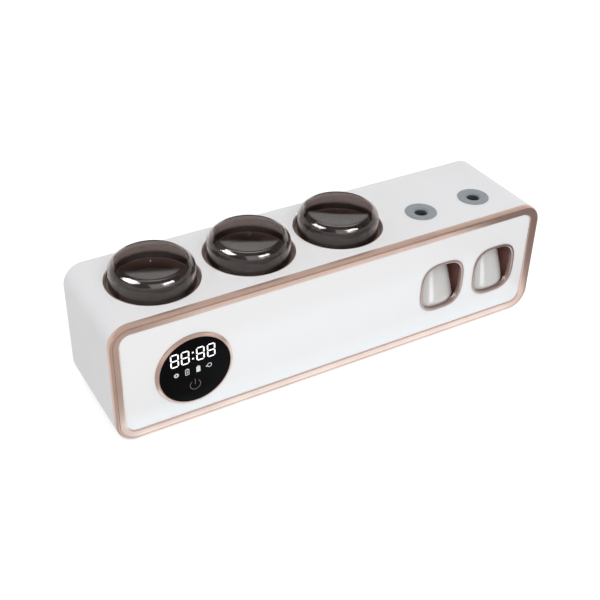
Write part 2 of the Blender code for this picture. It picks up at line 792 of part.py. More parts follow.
def make_port_collar(name, x):
    """A soft funnel: flat flange on the housing, cone, bore, plug in the neck."""
    plug = NECK_BORE - GAP
    edge = COLLAR_FLANGE * 0.4
    profile = [
        (COLLAR_MOUTH, COLLAR_FLANGE),
        (COLLAR_RADIUS - edge, COLLAR_FLANGE),
        (COLLAR_RADIUS, COLLAR_FLANGE - edge),
        (COLLAR_RADIUS, GAP),
        (plug, GAP),
        (plug, -COLLAR_DEPTH),
        (COLLAR_BORE, -COLLAR_DEPTH),
        (COLLAR_BORE, COLLAR_FLANGE - COLLAR_CONE),
    ]
    place = (x + PORT_SHIFT, PORT_Y, TOP)
    turned(name, profile, place, "grey_silicone", 24, ring=True)


# ---- stone wells --------------------------------------------------------
def make_well_liner(name, x, y):
    """A pot hung by its flange under the housing's top, with a ledge for the lid.
    Heights are above the housing's top."""
    mouth_outer = WELL_RADIUS - GAP
    flange_top = -WALL - GAP
    flange_low = flange_top - LINER_FLANGE_THICKNESS
    pot = LINER_BORE + LINER_WALL
    round_in = LINER_FLOOR_ROUND
    neck = LINER_NECK_ROUND
    profile = [(0.0, -LINER_DEPTH)]
    profile += arc(
        (LINER_BORE - round_in, round_in - LINER_DEPTH), (round_in,) * 2, -90, 0, 3
    )
    profile += [
        (LINER_BORE, -LINER_LEDGE_DEPTH),
        (LINER_MOUTH - EDGE, -LINER_LEDGE_DEPTH),
        (LINER_MOUTH, -LINER_LEDGE_DEPTH + EDGE),
        (LINER_MOUTH, -LINER_RIM_DROP - 2 * EDGE),
        (LINER_MOUTH + LINER_WALL / 2, -LINER_RIM_DROP),
        (mouth_outer, -LINER_RIM_DROP - EDGE),
        (mouth_outer, flange_top),
        (FLANGE_RADIUS, flange_top),
        (FLANGE_RADIUS, flange_low),
        (pot + neck, flange_low - 2 * neck),
        (pot, flange_low - 3 * neck),
        (pot, round_in - LINER_DEPTH),
        (LINER_BORE - round_in, -LINER_DEPTH - LINER_WALL),
        (0.0, -LINER_DEPTH - LINER_WALL),
    ]
    turned(name, profile, (x, y, TOP), "bronze_liner")


def make_well_heater(number, x, y):
    top = -LINER_DEPTH - LINER_WALL - GAP
    radius = LINER_BORE - HEATER_INSET
    low = top - HEATER_THICKNESS
    profile = [(0.0, top), (radius, top), (radius, low), (0.0, low)]
    turned(f"well_heater_{number}", profile, (x, y, TOP), "aluminium", 20)
    top = low - GAP
    low = top - PAD_THICKNESS
    profile = [(0.0, top), (radius, top), (radius, low), (0.0, low)]
    turned(f"heater_pad_{number}", profile, (x, y, TOP), "foam", 20)


def make_stone(name, x, y):
    """A pebble: |r/R|^p + |z/h|^p = 1, ground flat underneath."""
    half = STONE_HEIGHT / 2
    middle = -LINER_DEPTH + GAP + half
    profile = [(0.0, middle + half)]
    for step in range(1, 7):
        angle = math.pi / 2 * (1 - step / 6)
        radius = STONE_RADIUS * math.cos(angle) ** (2 / STONE_POWER)
        profile.append((radius, middle + half * math.sin(angle) ** (2 / STONE_POWER)))
    for step in range(1, 4):
        angle = math.pi / 2 * step / 6
        radius = STONE_RADIUS * math.cos(angle) ** (2 / STONE_POWER)
        profile.append((radius, middle - half * math.sin(angle) ** (2 / STONE_POWER)))
    profile += [(STONE_FLAT, middle - half), (0.0, middle - half)]
    turned(name, profile, (x, y, TOP), "basalt")


def lid_skin(inset):
    """Dished top with a rounded rim, a small step, a rounded shoulder and the
    skirt, as (radius, height) points."""
    points = []
    edge = LID_RIM_RADIUS - LID_RIM_ROUND - inset
    steps = 3 if inset else 4
    for step in range(steps + 1):
        out = step / steps
        dip = LID_DISH * (1 - out ** 2)
        points.append((edge * out, LID_RIM_TOP - inset - dip))
    if not inset:
        side = LID_RIM_TOP - LID_RIM_ROUND
        points += arc((edge, side), (LID_RIM_ROUND,) * 2, 60, 0, 2)
        points.append((LID_RIM_RADIUS + LID_STEP * 0.2, LID_SHOULDER_TOP + LID_STEP * 0.2))
    start = LID_SHOULDER_RADIUS - LID_SHOULDER_WIDTH
    centre = (start, LID_SHOULDER_Z)
    radii = (LID_SHOULDER_WIDTH - inset, LID_SHOULDER_TOP - LID_SHOULDER_Z - inset)
    points += arc(centre, radii, 88, 0, 2 if inset else 4)
    foot = -LINER_LEDGE_DEPTH + GAP
    points.append((LID_SKIRT_RADIUS - inset, foot))
    return points


def make_lid(name, x, y):
    outer = lid_skin(0.0)
    inner = lid_skin(LID_WALL)
    turned(name, outer + inner[::-1], (x, y, TOP), "smoked_clear", LID_STEPS)


# ---- inside: battery, board, inlet --------------------------------------
def board_posts():
    """Standoffs near the board's corners."""
    reach_x = BOARD_SIZE[0] / 2 - 2 * STANDOFF_RADIUS
    reach_y = BOARD_SIZE[1] / 2 - 2 * STANDOFF_RADIUS
    return [(BOARD_X + sx * reach_x, sy * reach_y) for sx in (-1, 1) for sy in (-1, 1)]


def make_electrics():
    low = COVER_TOP + GAP
    length, depth, height = BATTERY_SIZE
    place = (BATTERY_X, 0.0, low + height / 2)
    box("battery_pack", (length, depth, height), place, "battery_wrap", height * 0.3, 3)
    z = COVER_TOP + STANDOFF_HEIGHT + GAP + BOARD_THICKNESS / 2
    place = (BOARD_X, 0.0, z)
    box("main_board", (*BOARD_SIZE, BOARD_THICKNESS), place, "circuit_board")


def make_inlet():
    """A low-voltage socket in the back wall: heights run out of the back."""
    wall_in = -WALL - GAP
    flange_in = wall_in - INLET_FLANGE_THICKNESS
    profile = [
        (0.0, -INLET_BORE_DEPTH),
        (INLET_BORE, -INLET_BORE_DEPTH),
        (INLET_BORE, -GAP - EDGE),
        (INLET_BORE + EDGE, -GAP),
        (INLET_RADIUS, -GAP),
        (INLET_RADIUS, wall_in),
        (INLET_FLANGE, wall_in),
        (INLET_FLANGE, flange_in),
        (INLET_RADIUS, flange_in),
        (INLET_RADIUS, -INLET_LENGTH),
        (0.0, -INLET_LENGTH),
    ]
    place = (INLET_X, BACK, BASE + INLET_Z)
    turned("dc_inlet", profile, place, "black_plastic", 16, "back")


make_housing()
make_bottom_cover()
make_cover_screws()
make_feet()
make_front_frame()
make_front_panel()
make_display()
for number, oil_x in enumerate(OIL_CENTRES, 1):
    make_window_frame(f"window_frame_{number}", oil_x + WINDOW_SHIFT)
    make_tank_bay(f"tank_bay_{number}", oil_x)
    make_oil_tank(f"oil_tank_{number}", oil_x)
    make_tank_cap(f"tank_cap_{number}", oil_x)
    make_tank_plate(f"tank_heater_{number}", oil_x)
    make_port_collar(f"port_collar_{number}", oil_x)
for number, (well_x, well_y) in enumerate(WELL_CENTRES, 1):
    make_well_liner(f"well_liner_{number}", well_x, well_y)
    make_well_heater(number, well_x, well_y)
    make_stone(f"stone_{number}", well_x, well_y)
    make_lid(f"lid_{number}", well_x, well_y)
make_electrics()
make_inlet()
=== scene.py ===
import json
import math

import bmesh
import bpy
import numpy as np
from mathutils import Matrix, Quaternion, Vector

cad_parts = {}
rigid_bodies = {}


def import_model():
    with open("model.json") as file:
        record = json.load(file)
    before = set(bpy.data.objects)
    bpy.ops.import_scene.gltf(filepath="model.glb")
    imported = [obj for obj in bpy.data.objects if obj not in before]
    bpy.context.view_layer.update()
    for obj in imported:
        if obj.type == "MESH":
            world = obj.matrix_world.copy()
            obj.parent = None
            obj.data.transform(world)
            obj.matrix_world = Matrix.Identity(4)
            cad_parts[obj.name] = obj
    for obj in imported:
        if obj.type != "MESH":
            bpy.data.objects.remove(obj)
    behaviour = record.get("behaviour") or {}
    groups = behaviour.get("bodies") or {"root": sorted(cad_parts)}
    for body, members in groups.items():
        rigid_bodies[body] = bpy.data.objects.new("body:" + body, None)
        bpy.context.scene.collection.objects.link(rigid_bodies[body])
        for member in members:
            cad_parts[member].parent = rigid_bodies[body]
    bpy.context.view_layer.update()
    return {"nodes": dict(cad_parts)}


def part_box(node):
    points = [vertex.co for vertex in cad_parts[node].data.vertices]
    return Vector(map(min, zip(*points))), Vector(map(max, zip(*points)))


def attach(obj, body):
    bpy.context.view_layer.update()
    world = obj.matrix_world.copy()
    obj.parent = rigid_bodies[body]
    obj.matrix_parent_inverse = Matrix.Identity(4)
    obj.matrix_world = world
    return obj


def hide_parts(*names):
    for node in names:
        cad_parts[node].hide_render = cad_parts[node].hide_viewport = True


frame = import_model()
print("frame loaded:", len(frame["nodes"]), "nodes")

mm = 0.001
turnSteps = 160


# shapes as arrays

# a polyline whose corners are cut by arcs: each point is (x, y) or (x, y, corner radius)
def softLine(points, steps=6):
    spots = [np.array(p[:2], float) for p in points]
    done = [spots[0][None]]
    for before, here, after, given in zip(spots, spots[1:], spots[2:], points[1:-1]):
        radius = given[2] if len(given) > 2 else 0.0
        toBack = (before - here) / np.linalg.norm(before - here)
        toNext = (after - here) / np.linalg.norm(after - here)
        half = math.acos(float(np.clip(toBack @ toNext, -1, 1))) / 2
        if radius <= 0 or half > 1.56:
            done.append(here[None])
            continue
        reach = radius / math.tan(half)
        middle = here + (toBack + toNext) / np.linalg.norm(toBack + toNext) * radius / math.sin(half)
        start = here + toBack * reach - middle
        end = here + toNext * reach - middle
        turn = math.atan2(start[0] * end[1] - start[1] * end[0], start @ end)
        angles = np.linspace(0, turn, steps + 1)
        cosines, sines = np.cos(angles), np.sin(angles)
        done.append(
            middle
            + np.stack([start[0] * cosines - start[1] * sines, start[0] * sines + start[1] * cosines], 1)
        )
    done.append(spots[-1][None])
    return np.concatenate(done)


# points on an ellipse: centre + radii times (cos, sin), from one angle to another in degrees
def arcLine(centre, radii, start, end, steps):
    angles = np.radians(np.linspace(start, end, steps + 1))
    return np.stack([centre[0] + radii[0] * np.cos(angles), centre[1] + radii[1] * np.sin(angles)], 1)


# rounded rectangle: corner centre + (radius - inset) times (cos, sin); one row for each inset
def roundedRings(halfWidth, halfHeight, radius, insets, cornerSteps=20):
    angles = np.linspace(0, math.pi / 2, cornerSteps + 1)
    turns = np.concatenate([angles + k * math.pi / 2 for k in range(4)])
    signs = np.repeat([[1, 1], [-1, 1], [-1, -1], [1, -1]], cornerSteps + 1, axis=0)
    middles = signs * np.array([halfWidth - radius, halfHeight - radius])
    ways = np.stack([np.cos(turns), np.sin(turns)], 1)
    insets = np.asarray(insets, float)
    return middles[None] + (radius - insets)[:, None, None] * ways[None]


# |x/a|^p + |y/b|^p = 1 at even angles of its parameter; one row for each inset
def squircleRings(halfWidth, halfHeight, power, insets, count=160):
    angles = np.linspace(0, 2 * math.pi, count, endpoint=False)
    across = np.sign(np.cos(angles)) * np.abs(np.cos(angles)) ** (2 / power)
    up = np.sign(np.sin(angles)) * np.abs(np.sin(angles)) ** (2 / power)
    insets = np.asarray(insets, float)[:, None]
    return np.stack([(halfWidth - insets) * across, (halfHeight - insets) * up], 2)


# rings lie at a row of heights, round a middle
def layDown(rings, heights, middle=(0, 0, 0)):
    heights = np.broadcast_to(np.asarray(heights, float)[:, None], rings.shape[:2])
    return np.stack([rings[..., 0], rings[..., 1], heights], 2) + np.array(middle)


# rings of (across, up) stand upright at a row of depths, round a middle
def standUp(rings, depths, middle=(0, 0, 0)):
    return layDown(rings, depths)[..., [0, 2, 1]] + np.array(middle)


# (radius, height) points turned about an axis through a middle: up is +Z, front is -Y, back is +Y
def turnedGrid(profile, middle, facing="up", steps=turnSteps):
    profile = np.asarray(profile, float)
    angles = np.linspace(0, 2 * math.pi, steps, endpoint=False)
    across = profile[:, :1] * np.cos(angles)
    along = profile[:, :1] * np.sin(angles)
    height = np.broadcast_to(profile[:, 1:], across.shape)
    if facing != "up":
        along, height = (-height if facing == "front" else height), along
    return np.stack([across, along, height], 2) + np.array(middle)


# a grid (rows, columns, 3) as quads, with its lengths in metres as the uv map "span"
def gridMesh(name, grid, closeRows=False, closeColumns=True):
    rows, columns = grid.shape[:2]
    a, b = np.meshgrid(
        np.arange(rows if closeRows else rows - 1),
        np.arange(columns if closeColumns else columns - 1),
        indexing="ij",
    )
    corners = [(a, b), (a, b + 1), (a + 1, b + 1), (a + 1, b)]
    faces = np.stack([(i % rows) * columns + j % columns for i, j in corners], -1).reshape(-1, 4)
    looped = np.concatenate([grid, grid[:, :1]], 1)
    looped = np.concatenate([looped, looped[:1]], 0)
    alongU = np.concatenate([[0], np.cumsum(np.linalg.norm(np.diff(looped, axis=1), axis=2).max(0))])
    alongV = np.concatenate([[0], np.cumsum(np.linalg.norm(np.diff(looped, axis=0), axis=2).mean(1))])
    span = np.stack([np.stack([alongU[j], alongV[i]], -1) for i, j in corners], 2).reshape(-1, 2)
    mesh = bpy.data.meshes.new(name)
    mesh.from_pydata(grid.reshape(-1, 3).tolist(), [], faces.tolist())
    mesh.uv_layers.new(name="span").data.foreach_set("uv", span.astype(np.float32).ravel())
    return mesh


# merges seams and poles, turns the faces outwards and joins several meshes in one
def sealed(name, meshes):
    shape = bmesh.new()
    for mesh in meshes:
        shape.from_mesh(mesh)
        bpy.data.meshes.remove(mesh)
    bmesh.ops.remove_doubles(shape, verts=shape.verts, dist=0.5e-6)
    bmesh.ops.recalc_face_normals(shape, faces=shape.faces)
    joined = bpy.data.meshes.new(name)
    shape.to_mesh(joined)
    shape.free()
    return joined


def showPiece(name, mesh, skinName, replaced=(), body="root", sharpAngle=40):
    mesh.materials.clear()
    mesh.materials.append(skins[skinName])
    mesh.shade_smooth()
    mesh.set_sharp_from_angle(angle=math.radians(sharpAngle))
    piece = bpy.data.objects.new(name, mesh)
    bpy.context.scene.collection.objects.link(piece)
    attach(piece, body)
    if replaced:
        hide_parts(*replaced)
    return piece


def showGrid(name, grid, skinName, replaced=(), body="root", sharpAngle=40, ring=False):
    showPiece(name, sealed(name, [gridMesh(name, grid, ring)]), skinName, replaced, body, sharpAngle)


def showTurned(
    name, profile, middle, skinName, replaced=(), body="root", facing="up", ring=False, steps=turnSteps
):
    showGrid(name, turnedGrid(profile, middle, facing, steps), skinName, replaced, body, ring=ring)


# cuts closed meshes out of a mesh and gives back the result
def cutOut(mesh, cutters):
    blank = bpy.data.objects.new("blank", mesh)
    bpy.context.scene.collection.objects.link(blank)
    tools = []
    for cutter in cutters:
        tool = bpy.data.objects.new("tool", cutter)
        bpy.context.scene.collection.objects.link(tool)
        step = blank.modifiers.new("cut", "BOOLEAN")
        step.object = tool
        tools.append(tool)
    bpy.context.view_layer.update()
    cut = bpy.data.meshes.new_from_object(blank.evaluated_get(bpy.context.evaluated_depsgraph_get()))
    for thing in [blank, *tools]:
        bpy.data.objects.remove(thing, do_unlink=True)
    return cut


def middleOf(node):
    low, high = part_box(node)
    return (low + high) / 2


# finishes
finishes = {
    "whiteShell": {
        "colour": (0.806, 0.806, 0.818), "second": (0.776, 0.777, 0.791), "mottle": 9,
        "rough": (0.30, 0.40), "grain": 420, "bump": 1500, "height": 0.000006,
        "also": {"Specular IOR Level": 0.4},
    },
    "whitePanel": {
        "colour": (0.900, 0.901, 0.910), "second": (0.886, 0.887, 0.898), "mottle": 7,
        "rough": (0.10, 0.16), "grain": 160, "bump": 60, "height": 0.00001,
        "also": {"Coat Weight": 0.5, "Coat Roughness": 0.05},
    },
    "blackGlass": {
        "colour": (0.0025, 0.0025, 0.0028), "second": (0.004, 0.004, 0.0044), "mottle": 40,
        "rough": (0.04, 0.09), "grain": 220, "bump": 90, "height": 0.000004,
        "also": {"Specular IOR Level": 0.03},
    },
    # painted shade: the tank's white is set darker, standing in for the shade of the dark bay round it
    "whiteTank": {
        "colour": (0.66, 0.655, 0.64), "second": (0.62, 0.615, 0.60), "mottle": 30,
        "rough": (0.16, 0.22), "grain": 240, "bump": 110, "height": 0.00002,
        "also": {"Coat Weight": 0.6, "Coat Roughness": 0.12},
    },
    "brownBay": {
        "colour": (0.36, 0.17, 0.145), "second": (0.29, 0.135, 0.118), "mottle": 40,
        "rough": (0.30, 0.45), "grain": 700, "bump": 1200, "height": 0.00001,
    },
    "greySilicone": {
        "colour": (0.262, 0.290, 0.315), "second": (0.235, 0.262, 0.288), "mottle": 260,
        "rough": (0.50, 0.66), "grain": 1400, "bump": 2600, "height": 0.000012,
        "also": {"Sheen Weight": 0.25, "Sheen Roughness": 0.5},
    },
    "blackRubber": {
        "colour": (0.022, 0.022, 0.023), "second": (0.035, 0.035, 0.036), "mottle": 500,
        "rough": (0.62, 0.8), "grain": 1800, "bump": 3000, "height": 0.00003,
    },
    "blackPlastic": {
        "colour": (0.018, 0.018, 0.019), "second": (0.028, 0.028, 0.029), "mottle": 300,
        "rough": (0.35, 0.5), "grain": 1500, "bump": 2400, "height": 0.00001,
    },
    "zincSteel": {
        "colour": (0.55, 0.55, 0.56), "second": (0.46, 0.47, 0.49), "mottle": 900,
        "rough": (0.24, 0.42), "grain": 2500, "bump": 3500, "height": 0.000008,
        "also": {"Metallic": 1.0},
    },
    "aluminium": {
        "colour": (0.68, 0.68, 0.69), "second": (0.58, 0.58, 0.60), "mottle": 120,
        "rough": (0.30, 0.48), "grain": 900, "bump": 1800, "height": 0.00001,
        "also": {"Metallic": 1.0},
    },
    "foam": {
        "colour": (0.46, 0.44, 0.40), "second": (0.36, 0.345, 0.315), "mottle": 900,
        "rough": (0.85, 0.98), "grain": 1500, "bump": 1400, "height": 0.00025,
    },
    "batteryWrap": {
        "colour": (0.022, 0.075, 0.30), "second": (0.016, 0.055, 0.23), "mottle": 60,
        "rough": (0.22, 0.38), "grain": 300, "bump": 90, "height": 0.0001,
    },
    "lightSign": {
        "colour": (0.86, 0.86, 0.86), "second": (0.80, 0.80, 0.82), "mottle": 600,
        "rough": (0.35, 0.5), "grain": 900, "bump": 1500, "height": 0.000002,
        "also": {"Emission Color": (0.93, 0.93, 0.95, 1), "Emission Strength": 0.85},
    },
    "iconSign": {
        "colour": (0.45, 0.45, 0.45), "second": (0.40, 0.40, 0.41), "mottle": 600,
        "rough": (0.35, 0.5), "grain": 900, "bump": 1500, "height": 0.000002,
        "also": {"Emission Color": (0.60, 0.60, 0.61, 1), "Emission Strength": 0.62},
    },
    "powerSign": {
        "colour": (0.085, 0.058, 0.054), "second": (0.07, 0.048, 0.044), "mottle": 600,
        "rough": (0.35, 0.5), "grain": 900, "bump": 1500, "height": 0.000002,
        "also": {"Emission Color": (0.32, 0.235, 0.22, 1), "Emission Strength": 0.2},
    },
}


# feeds each named or numbered input with a value, or with another node's output
def feed(tree, made, fed):
    for place, source in fed.items():
        if isinstance(source, bpy.types.NodeSocket):
            tree.links.new(source, made.inputs[place])
        else:
            made.inputs[place].default_value = source


def node(tree, kind, fed={}, **settings):
    made = tree.nodes.new("ShaderNode" + kind)
    for name, value in settings.items():
        setattr(made, name, value)
    feed(tree, made, fed)
    return made


def noiseOn(tree, source, scale, detail=3.0, roughness=0.55):
    fed = {"Vector": source, "Scale": scale, "Detail": detail, "Roughness": roughness}
    return node(tree, "TexNoise", fed).outputs["Fac"]


def spread(tree, value, low, high, start=0.3, end=0.7):
    fed = {"Value": value, "From Min": start, "From Max": end, "To Min": low, "To Max": high}
    return node(tree, "MapRange", fed).outputs["Result"]


def reckon(tree, operation, first, second):
    return node(tree, "Math", {0: first, 1: second}, operation=operation).outputs[0]


# two colours, or colour outputs, mixed by a value
def blendColours(tree, value, first, second):
    first, second = (((*c, 1) if isinstance(c, tuple) else c) for c in (first, second))
    return node(tree, "Mix", {"Factor": value, 6: first, 7: second}, data_type="RGBA").outputs[2]


def bumpFrom(tree, height, distance, below=None):
    fed = {"Strength": 1.0, "Distance": distance, "Height": height}
    if below is not None:
        fed["Normal"] = below
    return node(tree, "Bump", fed).outputs["Normal"]


def placeOn(tree, kind="Object"):
    return node(tree, "TexCoord").outputs[kind]


def wire(tree, shader, tint, gloss, normal):
    feed(tree, shader, {"Base Color": tint, "Roughness": gloss, "Normal": normal})


# one shader or the other, chosen by a value, as the surface
def showSurface(tree, value, first, second):
    mix = node(tree, "MixShader", {0: value, 1: first.outputs[0], 2: second.outputs[0]})
    feed(tree, tree.nodes["Material Output"], {"Surface": mix.outputs[0]})


# 1 for rays off mirrors and through clear pieces, 0 for all others
def mirrorRays(tree):
    rays = node(tree, "LightPath").outputs
    return reckon(tree, "MAXIMUM", rays["Is Glossy Ray"], rays["Is Transmission Ray"])


def startSkin(name, also):
    skin = bpy.data.materials.new(name)
    skin.use_nodes = True
    tree = skin.node_tree
    shader = tree.nodes["Principled BSDF"]
    feed(tree, shader, also)
    return skin, tree, shader, placeOn(tree)


# cloudy tint, uneven gloss and a fine moulded grain, all from the piece's own place
def makeSkin(name):
    look = finishes[name]
    skin, tree, shader, spot = startSkin(name, look.get("also", {}))
    clouds = spread(tree, noiseOn(tree, spot, look["mottle"]), 0, 1)
    tint = blendColours(tree, clouds, look["colour"], look["second"])
    gloss = spread(tree, noiseOn(tree, spot, look["grain"], 2), *look["rough"])
    wire(tree, shader, tint, gloss, bumpFrom(tree, noiseOn(tree, spot, look["bump"], 2), look["height"]))
    return skin


# satin metal brushed along the band, from the uv map "span"
roseGoldLook = {
    "colour": (0.655, 0.462, 0.388), "second": (0.605, 0.420, 0.350), "rough": (0.27, 0.35),
    "along": 60, "across": 5200, "height": 0.000004,
}
# the window rims are the same metal in a greyer tone
rimGoldLook = {**roseGoldLook, "colour": (0.445, 0.332, 0.306), "second": (0.405, 0.300, 0.274)}


def makeRoseGold(name, look):
    skin, tree, shader, spot = startSkin(name, {"Metallic": 1.0})
    span = node(tree, "UVMap", uv_map="span").outputs["UV"]
    stretch = node(tree, "Mapping", {"Vector": span, "Scale": (look["along"], look["across"], 1)})
    lines = noiseOn(tree, stretch.outputs["Vector"], 1, 3)
    clouds = spread(tree, noiseOn(tree, spot, 45), 0, 1)
    tint = blendColours(tree, clouds, look["colour"], look["second"])
    wire(tree, shader, tint, spread(tree, lines, *look["rough"]), bumpFrom(tree, lines, look["height"]))
    return skin


# brown-bronze enamel of the wells, with a fine speckle and an uneven gloss
linerLook = {
    "colour": (0.250, 0.190, 0.165), "second": (0.180, 0.137, 0.118),
    "rough": (0.28, 0.42), "height": 0.000012,
}


def makeLinerSkin():
    skin, tree, shader, spot = startSkin("bronzeLiner", {"Metallic": 0.55})
    clouds = spread(tree, noiseOn(tree, spot, 700, 4), 0, 1)
    tint = blendColours(tree, clouds, linerLook["colour"], linerLook["second"])
    gloss = spread(tree, noiseOn(tree, spot, 350), *linerLook["rough"])
    wire(tree, shader, tint, gloss, bumpFrom(tree, noiseOn(tree, spot, 1600), linerLook["height"]))
    return skin


# dark lava stone: pale mineral flecks, small pores and a hand-worn sheen
stoneLook = {
    "colour": (0.030, 0.030, 0.032), "second": (0.060, 0.058, 0.056), "fleck": (0.16, 0.155, 0.15),
    "rough": (0.42, 0.66), "swell": 0.0003, "pore": 0.00008,
}


def makeStoneSkin():
    skin, tree, shader, spot = startSkin("lavaStone", {"Specular IOR Level": 0.35})
    clouds = spread(tree, noiseOn(tree, spot, 170, 5), 0, 1)
    body = blendColours(tree, clouds, stoneLook["colour"], stoneLook["second"])
    flecks = spread(tree, noiseOn(tree, spot, 2300, 2), 0, 1, 0.66, 0.74)
    tint = blendColours(tree, flecks, body, stoneLook["fleck"])
    pores = node(tree, "TexVoronoi", {"Vector": spot, "Scale": 900})
    pits = spread(tree, pores.outputs["Distance"], 0, 1, 0.0, 0.28)
    swells = bumpFrom(tree, noiseOn(tree, spot, 420, 4), stoneLook["swell"])
    gloss = spread(tree, noiseOn(tree, spot, 300), *stoneLook["rough"])
    wire(tree, shader, tint, gloss, bumpFrom(tree, pits, stoneLook["pore"], swells))
    return skin


# smoke-tinted clear plastic; lamps shine through it as through tinted film
lidLook = {
    "tint": (0.46, 0.405, 0.385), "shade": (0.40, 0.37, 0.355), "rough": (0.012, 0.035), "bend": 1.45,
    "height": 0.00002,
}


def makeLidSkin():
    skin, tree, shader, spot = startSkin("smokedClear", {"Transmission Weight": 1.0, "IOR": lidLook["bend"]})
    tint = (*lidLook["tint"], 1)
    gloss = spread(tree, noiseOn(tree, spot, 260), *lidLook["rough"])
    wire(tree, shader, tint, gloss, bumpFrom(tree, noiseOn(tree, spot, 55, 2), lidLook["height"]))
    film = node(tree, "BsdfTransparent", {"Color": (*lidLook["shade"], 1)})
    shadow = node(tree, "LightPath").outputs["Is Shadow Ray"]
    showSurface(tree, shadow, shader, film)
    return skin


# green lacquered board: tracks show where the second nearest of scattered points is far
boardLook = {
    "lacquer": (0.012, 0.105, 0.045), "track": (0.035, 0.190, 0.085), "rough": (0.3, 0.45), "height": 0.00002,
}


def makeBoardSkin():
    skin, tree, shader, spot = startSkin("circuitBoard", {"Coat Weight": 0.4, "Coat Roughness": 0.2})
    cells = node(tree, "TexVoronoi", {"Vector": spot, "Scale": 320}, distance="MANHATTAN", feature="F2")
    tracks = spread(tree, cells.outputs["Distance"], 0, 1, 0.42, 0.5)
    tint = blendColours(tree, tracks, boardLook["lacquer"], boardLook["track"])
    gloss = spread(tree, noiseOn(tree, spot, 900), *boardLook["rough"])
    wire(tree, shader, tint, gloss, bumpFrom(tree, tracks, boardLook["height"]))
    return skin


skins = {name: makeSkin(name) for name in finishes}
skins["roseGold"] = makeRoseGold("roseGold", roseGoldLook)
skins["rimGold"] = makeRoseGold("rimGold", rimGoldLook)
skins["bronzeLiner"] = makeLinerSkin()
skins["lavaStone"] = makeStoneSkin()
skins["smokedClear"] = makeLidSkin()
skins["circuitBoard"] = makeBoardSkin()
print("finishes made:", len(skins))

# CAD nodes that keep their own mesh take these finishes
keptNodes = {
    "front_panel": "whitePanel", "bottom_cover": "whiteShell", "battery_pack": "batteryWrap",
    "main_board": "circuitBoard", "display_board": "circuitBoard",
}
keptNodes.update({f"tank_heater_{i}": "aluminium" for i in (1, 2)})
keptNodes.update({f"well_heater_{i}": "aluminium" for i in (1, 2, 3)})
keptNodes.update({f"heater_pad_{i}": "foam" for i in (1, 2, 3)})
for nodeName, skinName in keptNodes.items():
    mesh = frame["nodes"][nodeName].data
    mesh.materials.clear()
    mesh.materials.append(skins[skinName])


# white housing
housing = {
    "radius": 20 * mm, "backFillet": 4 * mm, "wall": 2.6 * mm, "holeEdge": 0.5 * mm, "frontEdge": 0.25 * mm,
    "wellHole": 42.4 * mm, "portHole": 12.7 * mm, "inletHole": 5.3 * mm, "inletEdge": 0.4 * mm,
    "coverRound": 8 * mm, "coverGap": 0.3 * mm,
}
shellLow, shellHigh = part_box("housing")
bodyHalf = (shellHigh.x - shellLow.x) / 2
bodyTop = shellHigh.z
underside = shellLow.z
heightHalf = (bodyTop - underside) / 2
heightMiddle = (bodyTop + underside) / 2
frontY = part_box("front_frame")[0].y


# inner walls, front edge, outer walls and the filleted back as one run of (inset, depth)
def housingGrid():
    wall, fillet, edge = housing["wall"], housing["backFillet"], housing["frontEdge"]
    front, back = shellLow.y, shellHigh.y
    outside = [(0.0, front, edge), (0.0, back, fillet), (fillet + mm, back)]
    run = softLine([(wall, back - wall), (wall, front), *outside], 10)
    rings = roundedRings(bodyHalf, heightHalf, housing["radius"], run[:, 0])
    return standUp(rings, run[:, 1], (0, 0, heightMiddle))


# closes a grid's first and last rows with flat faces
def cappedMesh(name, grid):
    mesh = gridMesh(name, grid)
    shape = bmesh.new()
    shape.from_mesh(mesh)
    bmesh.ops.holes_fill(shape, edges=[e for e in shape.edges if e.is_boundary])
    bmesh.ops.recalc_face_normals(shape, faces=shape.faces)
    shape.to_mesh(mesh)
    shape.free()
    return mesh


# a round cutter whose edge flares out by the fillet where it meets the face
def roundCutter(radius, middle, facing, edge, steps=turnSteps):
    depth = 3 * housing["wall"]
    flare = arcLine((radius + edge, -edge), (edge, edge), 180, 90, 6)
    flare[-1, 1] += 0.00001
    run = np.concatenate([[(0, -depth), (radius, -depth)], flare, [(radius + edge, 2 * mm), (0, 2 * mm)]])
    return sealed("cutter", [gridMesh("cutter", turnedGrid(run, middle, facing, steps))])


def makeHousing():
    h = housing
    holes = [(f"well_liner_{i}", h["wellHole"]) for i in (1, 2, 3)]
    holes += [(f"port_collar_{i}", h["portHole"]) for i in (1, 2)]
    cutters = []
    for nodeName, radius in holes:
        spot = middleOf(nodeName)
        cutters.append(roundCutter(radius, (spot.x, spot.y, bodyTop), "up", h["holeEdge"]))
    spot = middleOf("dc_inlet")
    cutters.append(roundCutter(h["inletHole"], (spot.x, shellHigh.y, spot.z), "back", h["inletEdge"], 64))
    low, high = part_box("bottom_cover")
    gap = h["coverGap"]
    halves = (high.x - low.x) / 2 + gap, (high.y - low.y) / 2 + gap
    rings = roundedRings(*halves, h["coverRound"] + gap, [0, 0], 12)
    cutters.append(cappedMesh("cutter", layDown(rings, [underside - mm, underside + 3 * h["wall"]])))
    shell = cutOut(cappedMesh("housingShell", housingGrid()), cutters)
    piece = showPiece("housingShell", shell, "whiteShell", ["housing"], sharpAngle=30)
    piece.modifiers.new("evenShade", "WEIGHTED_NORMAL").keep_sharp = True


makeHousing()
print("housing made")


# rose-gold frame round the front
frameBand = {
    "width": 9.6 * mm, "side": 5.1 * mm, "crest": 2.0 * mm, "land": 0.6 * mm, "drop": 1.1 * mm,
    "lip": 0.4 * mm, "seat": 3.3 * mm, "spigot": 3.9 * mm, "grooveWidth": 0.8 * mm, "grooveDepth": 0.55 * mm,
    "rimRound": (1.4 * mm, 2.2 * mm), "bevelStart": 3.6 * mm,
    "bevelEnd": (8.6 * mm, 0.80 * mm), "edgeDrop": 1.42 * mm,
}


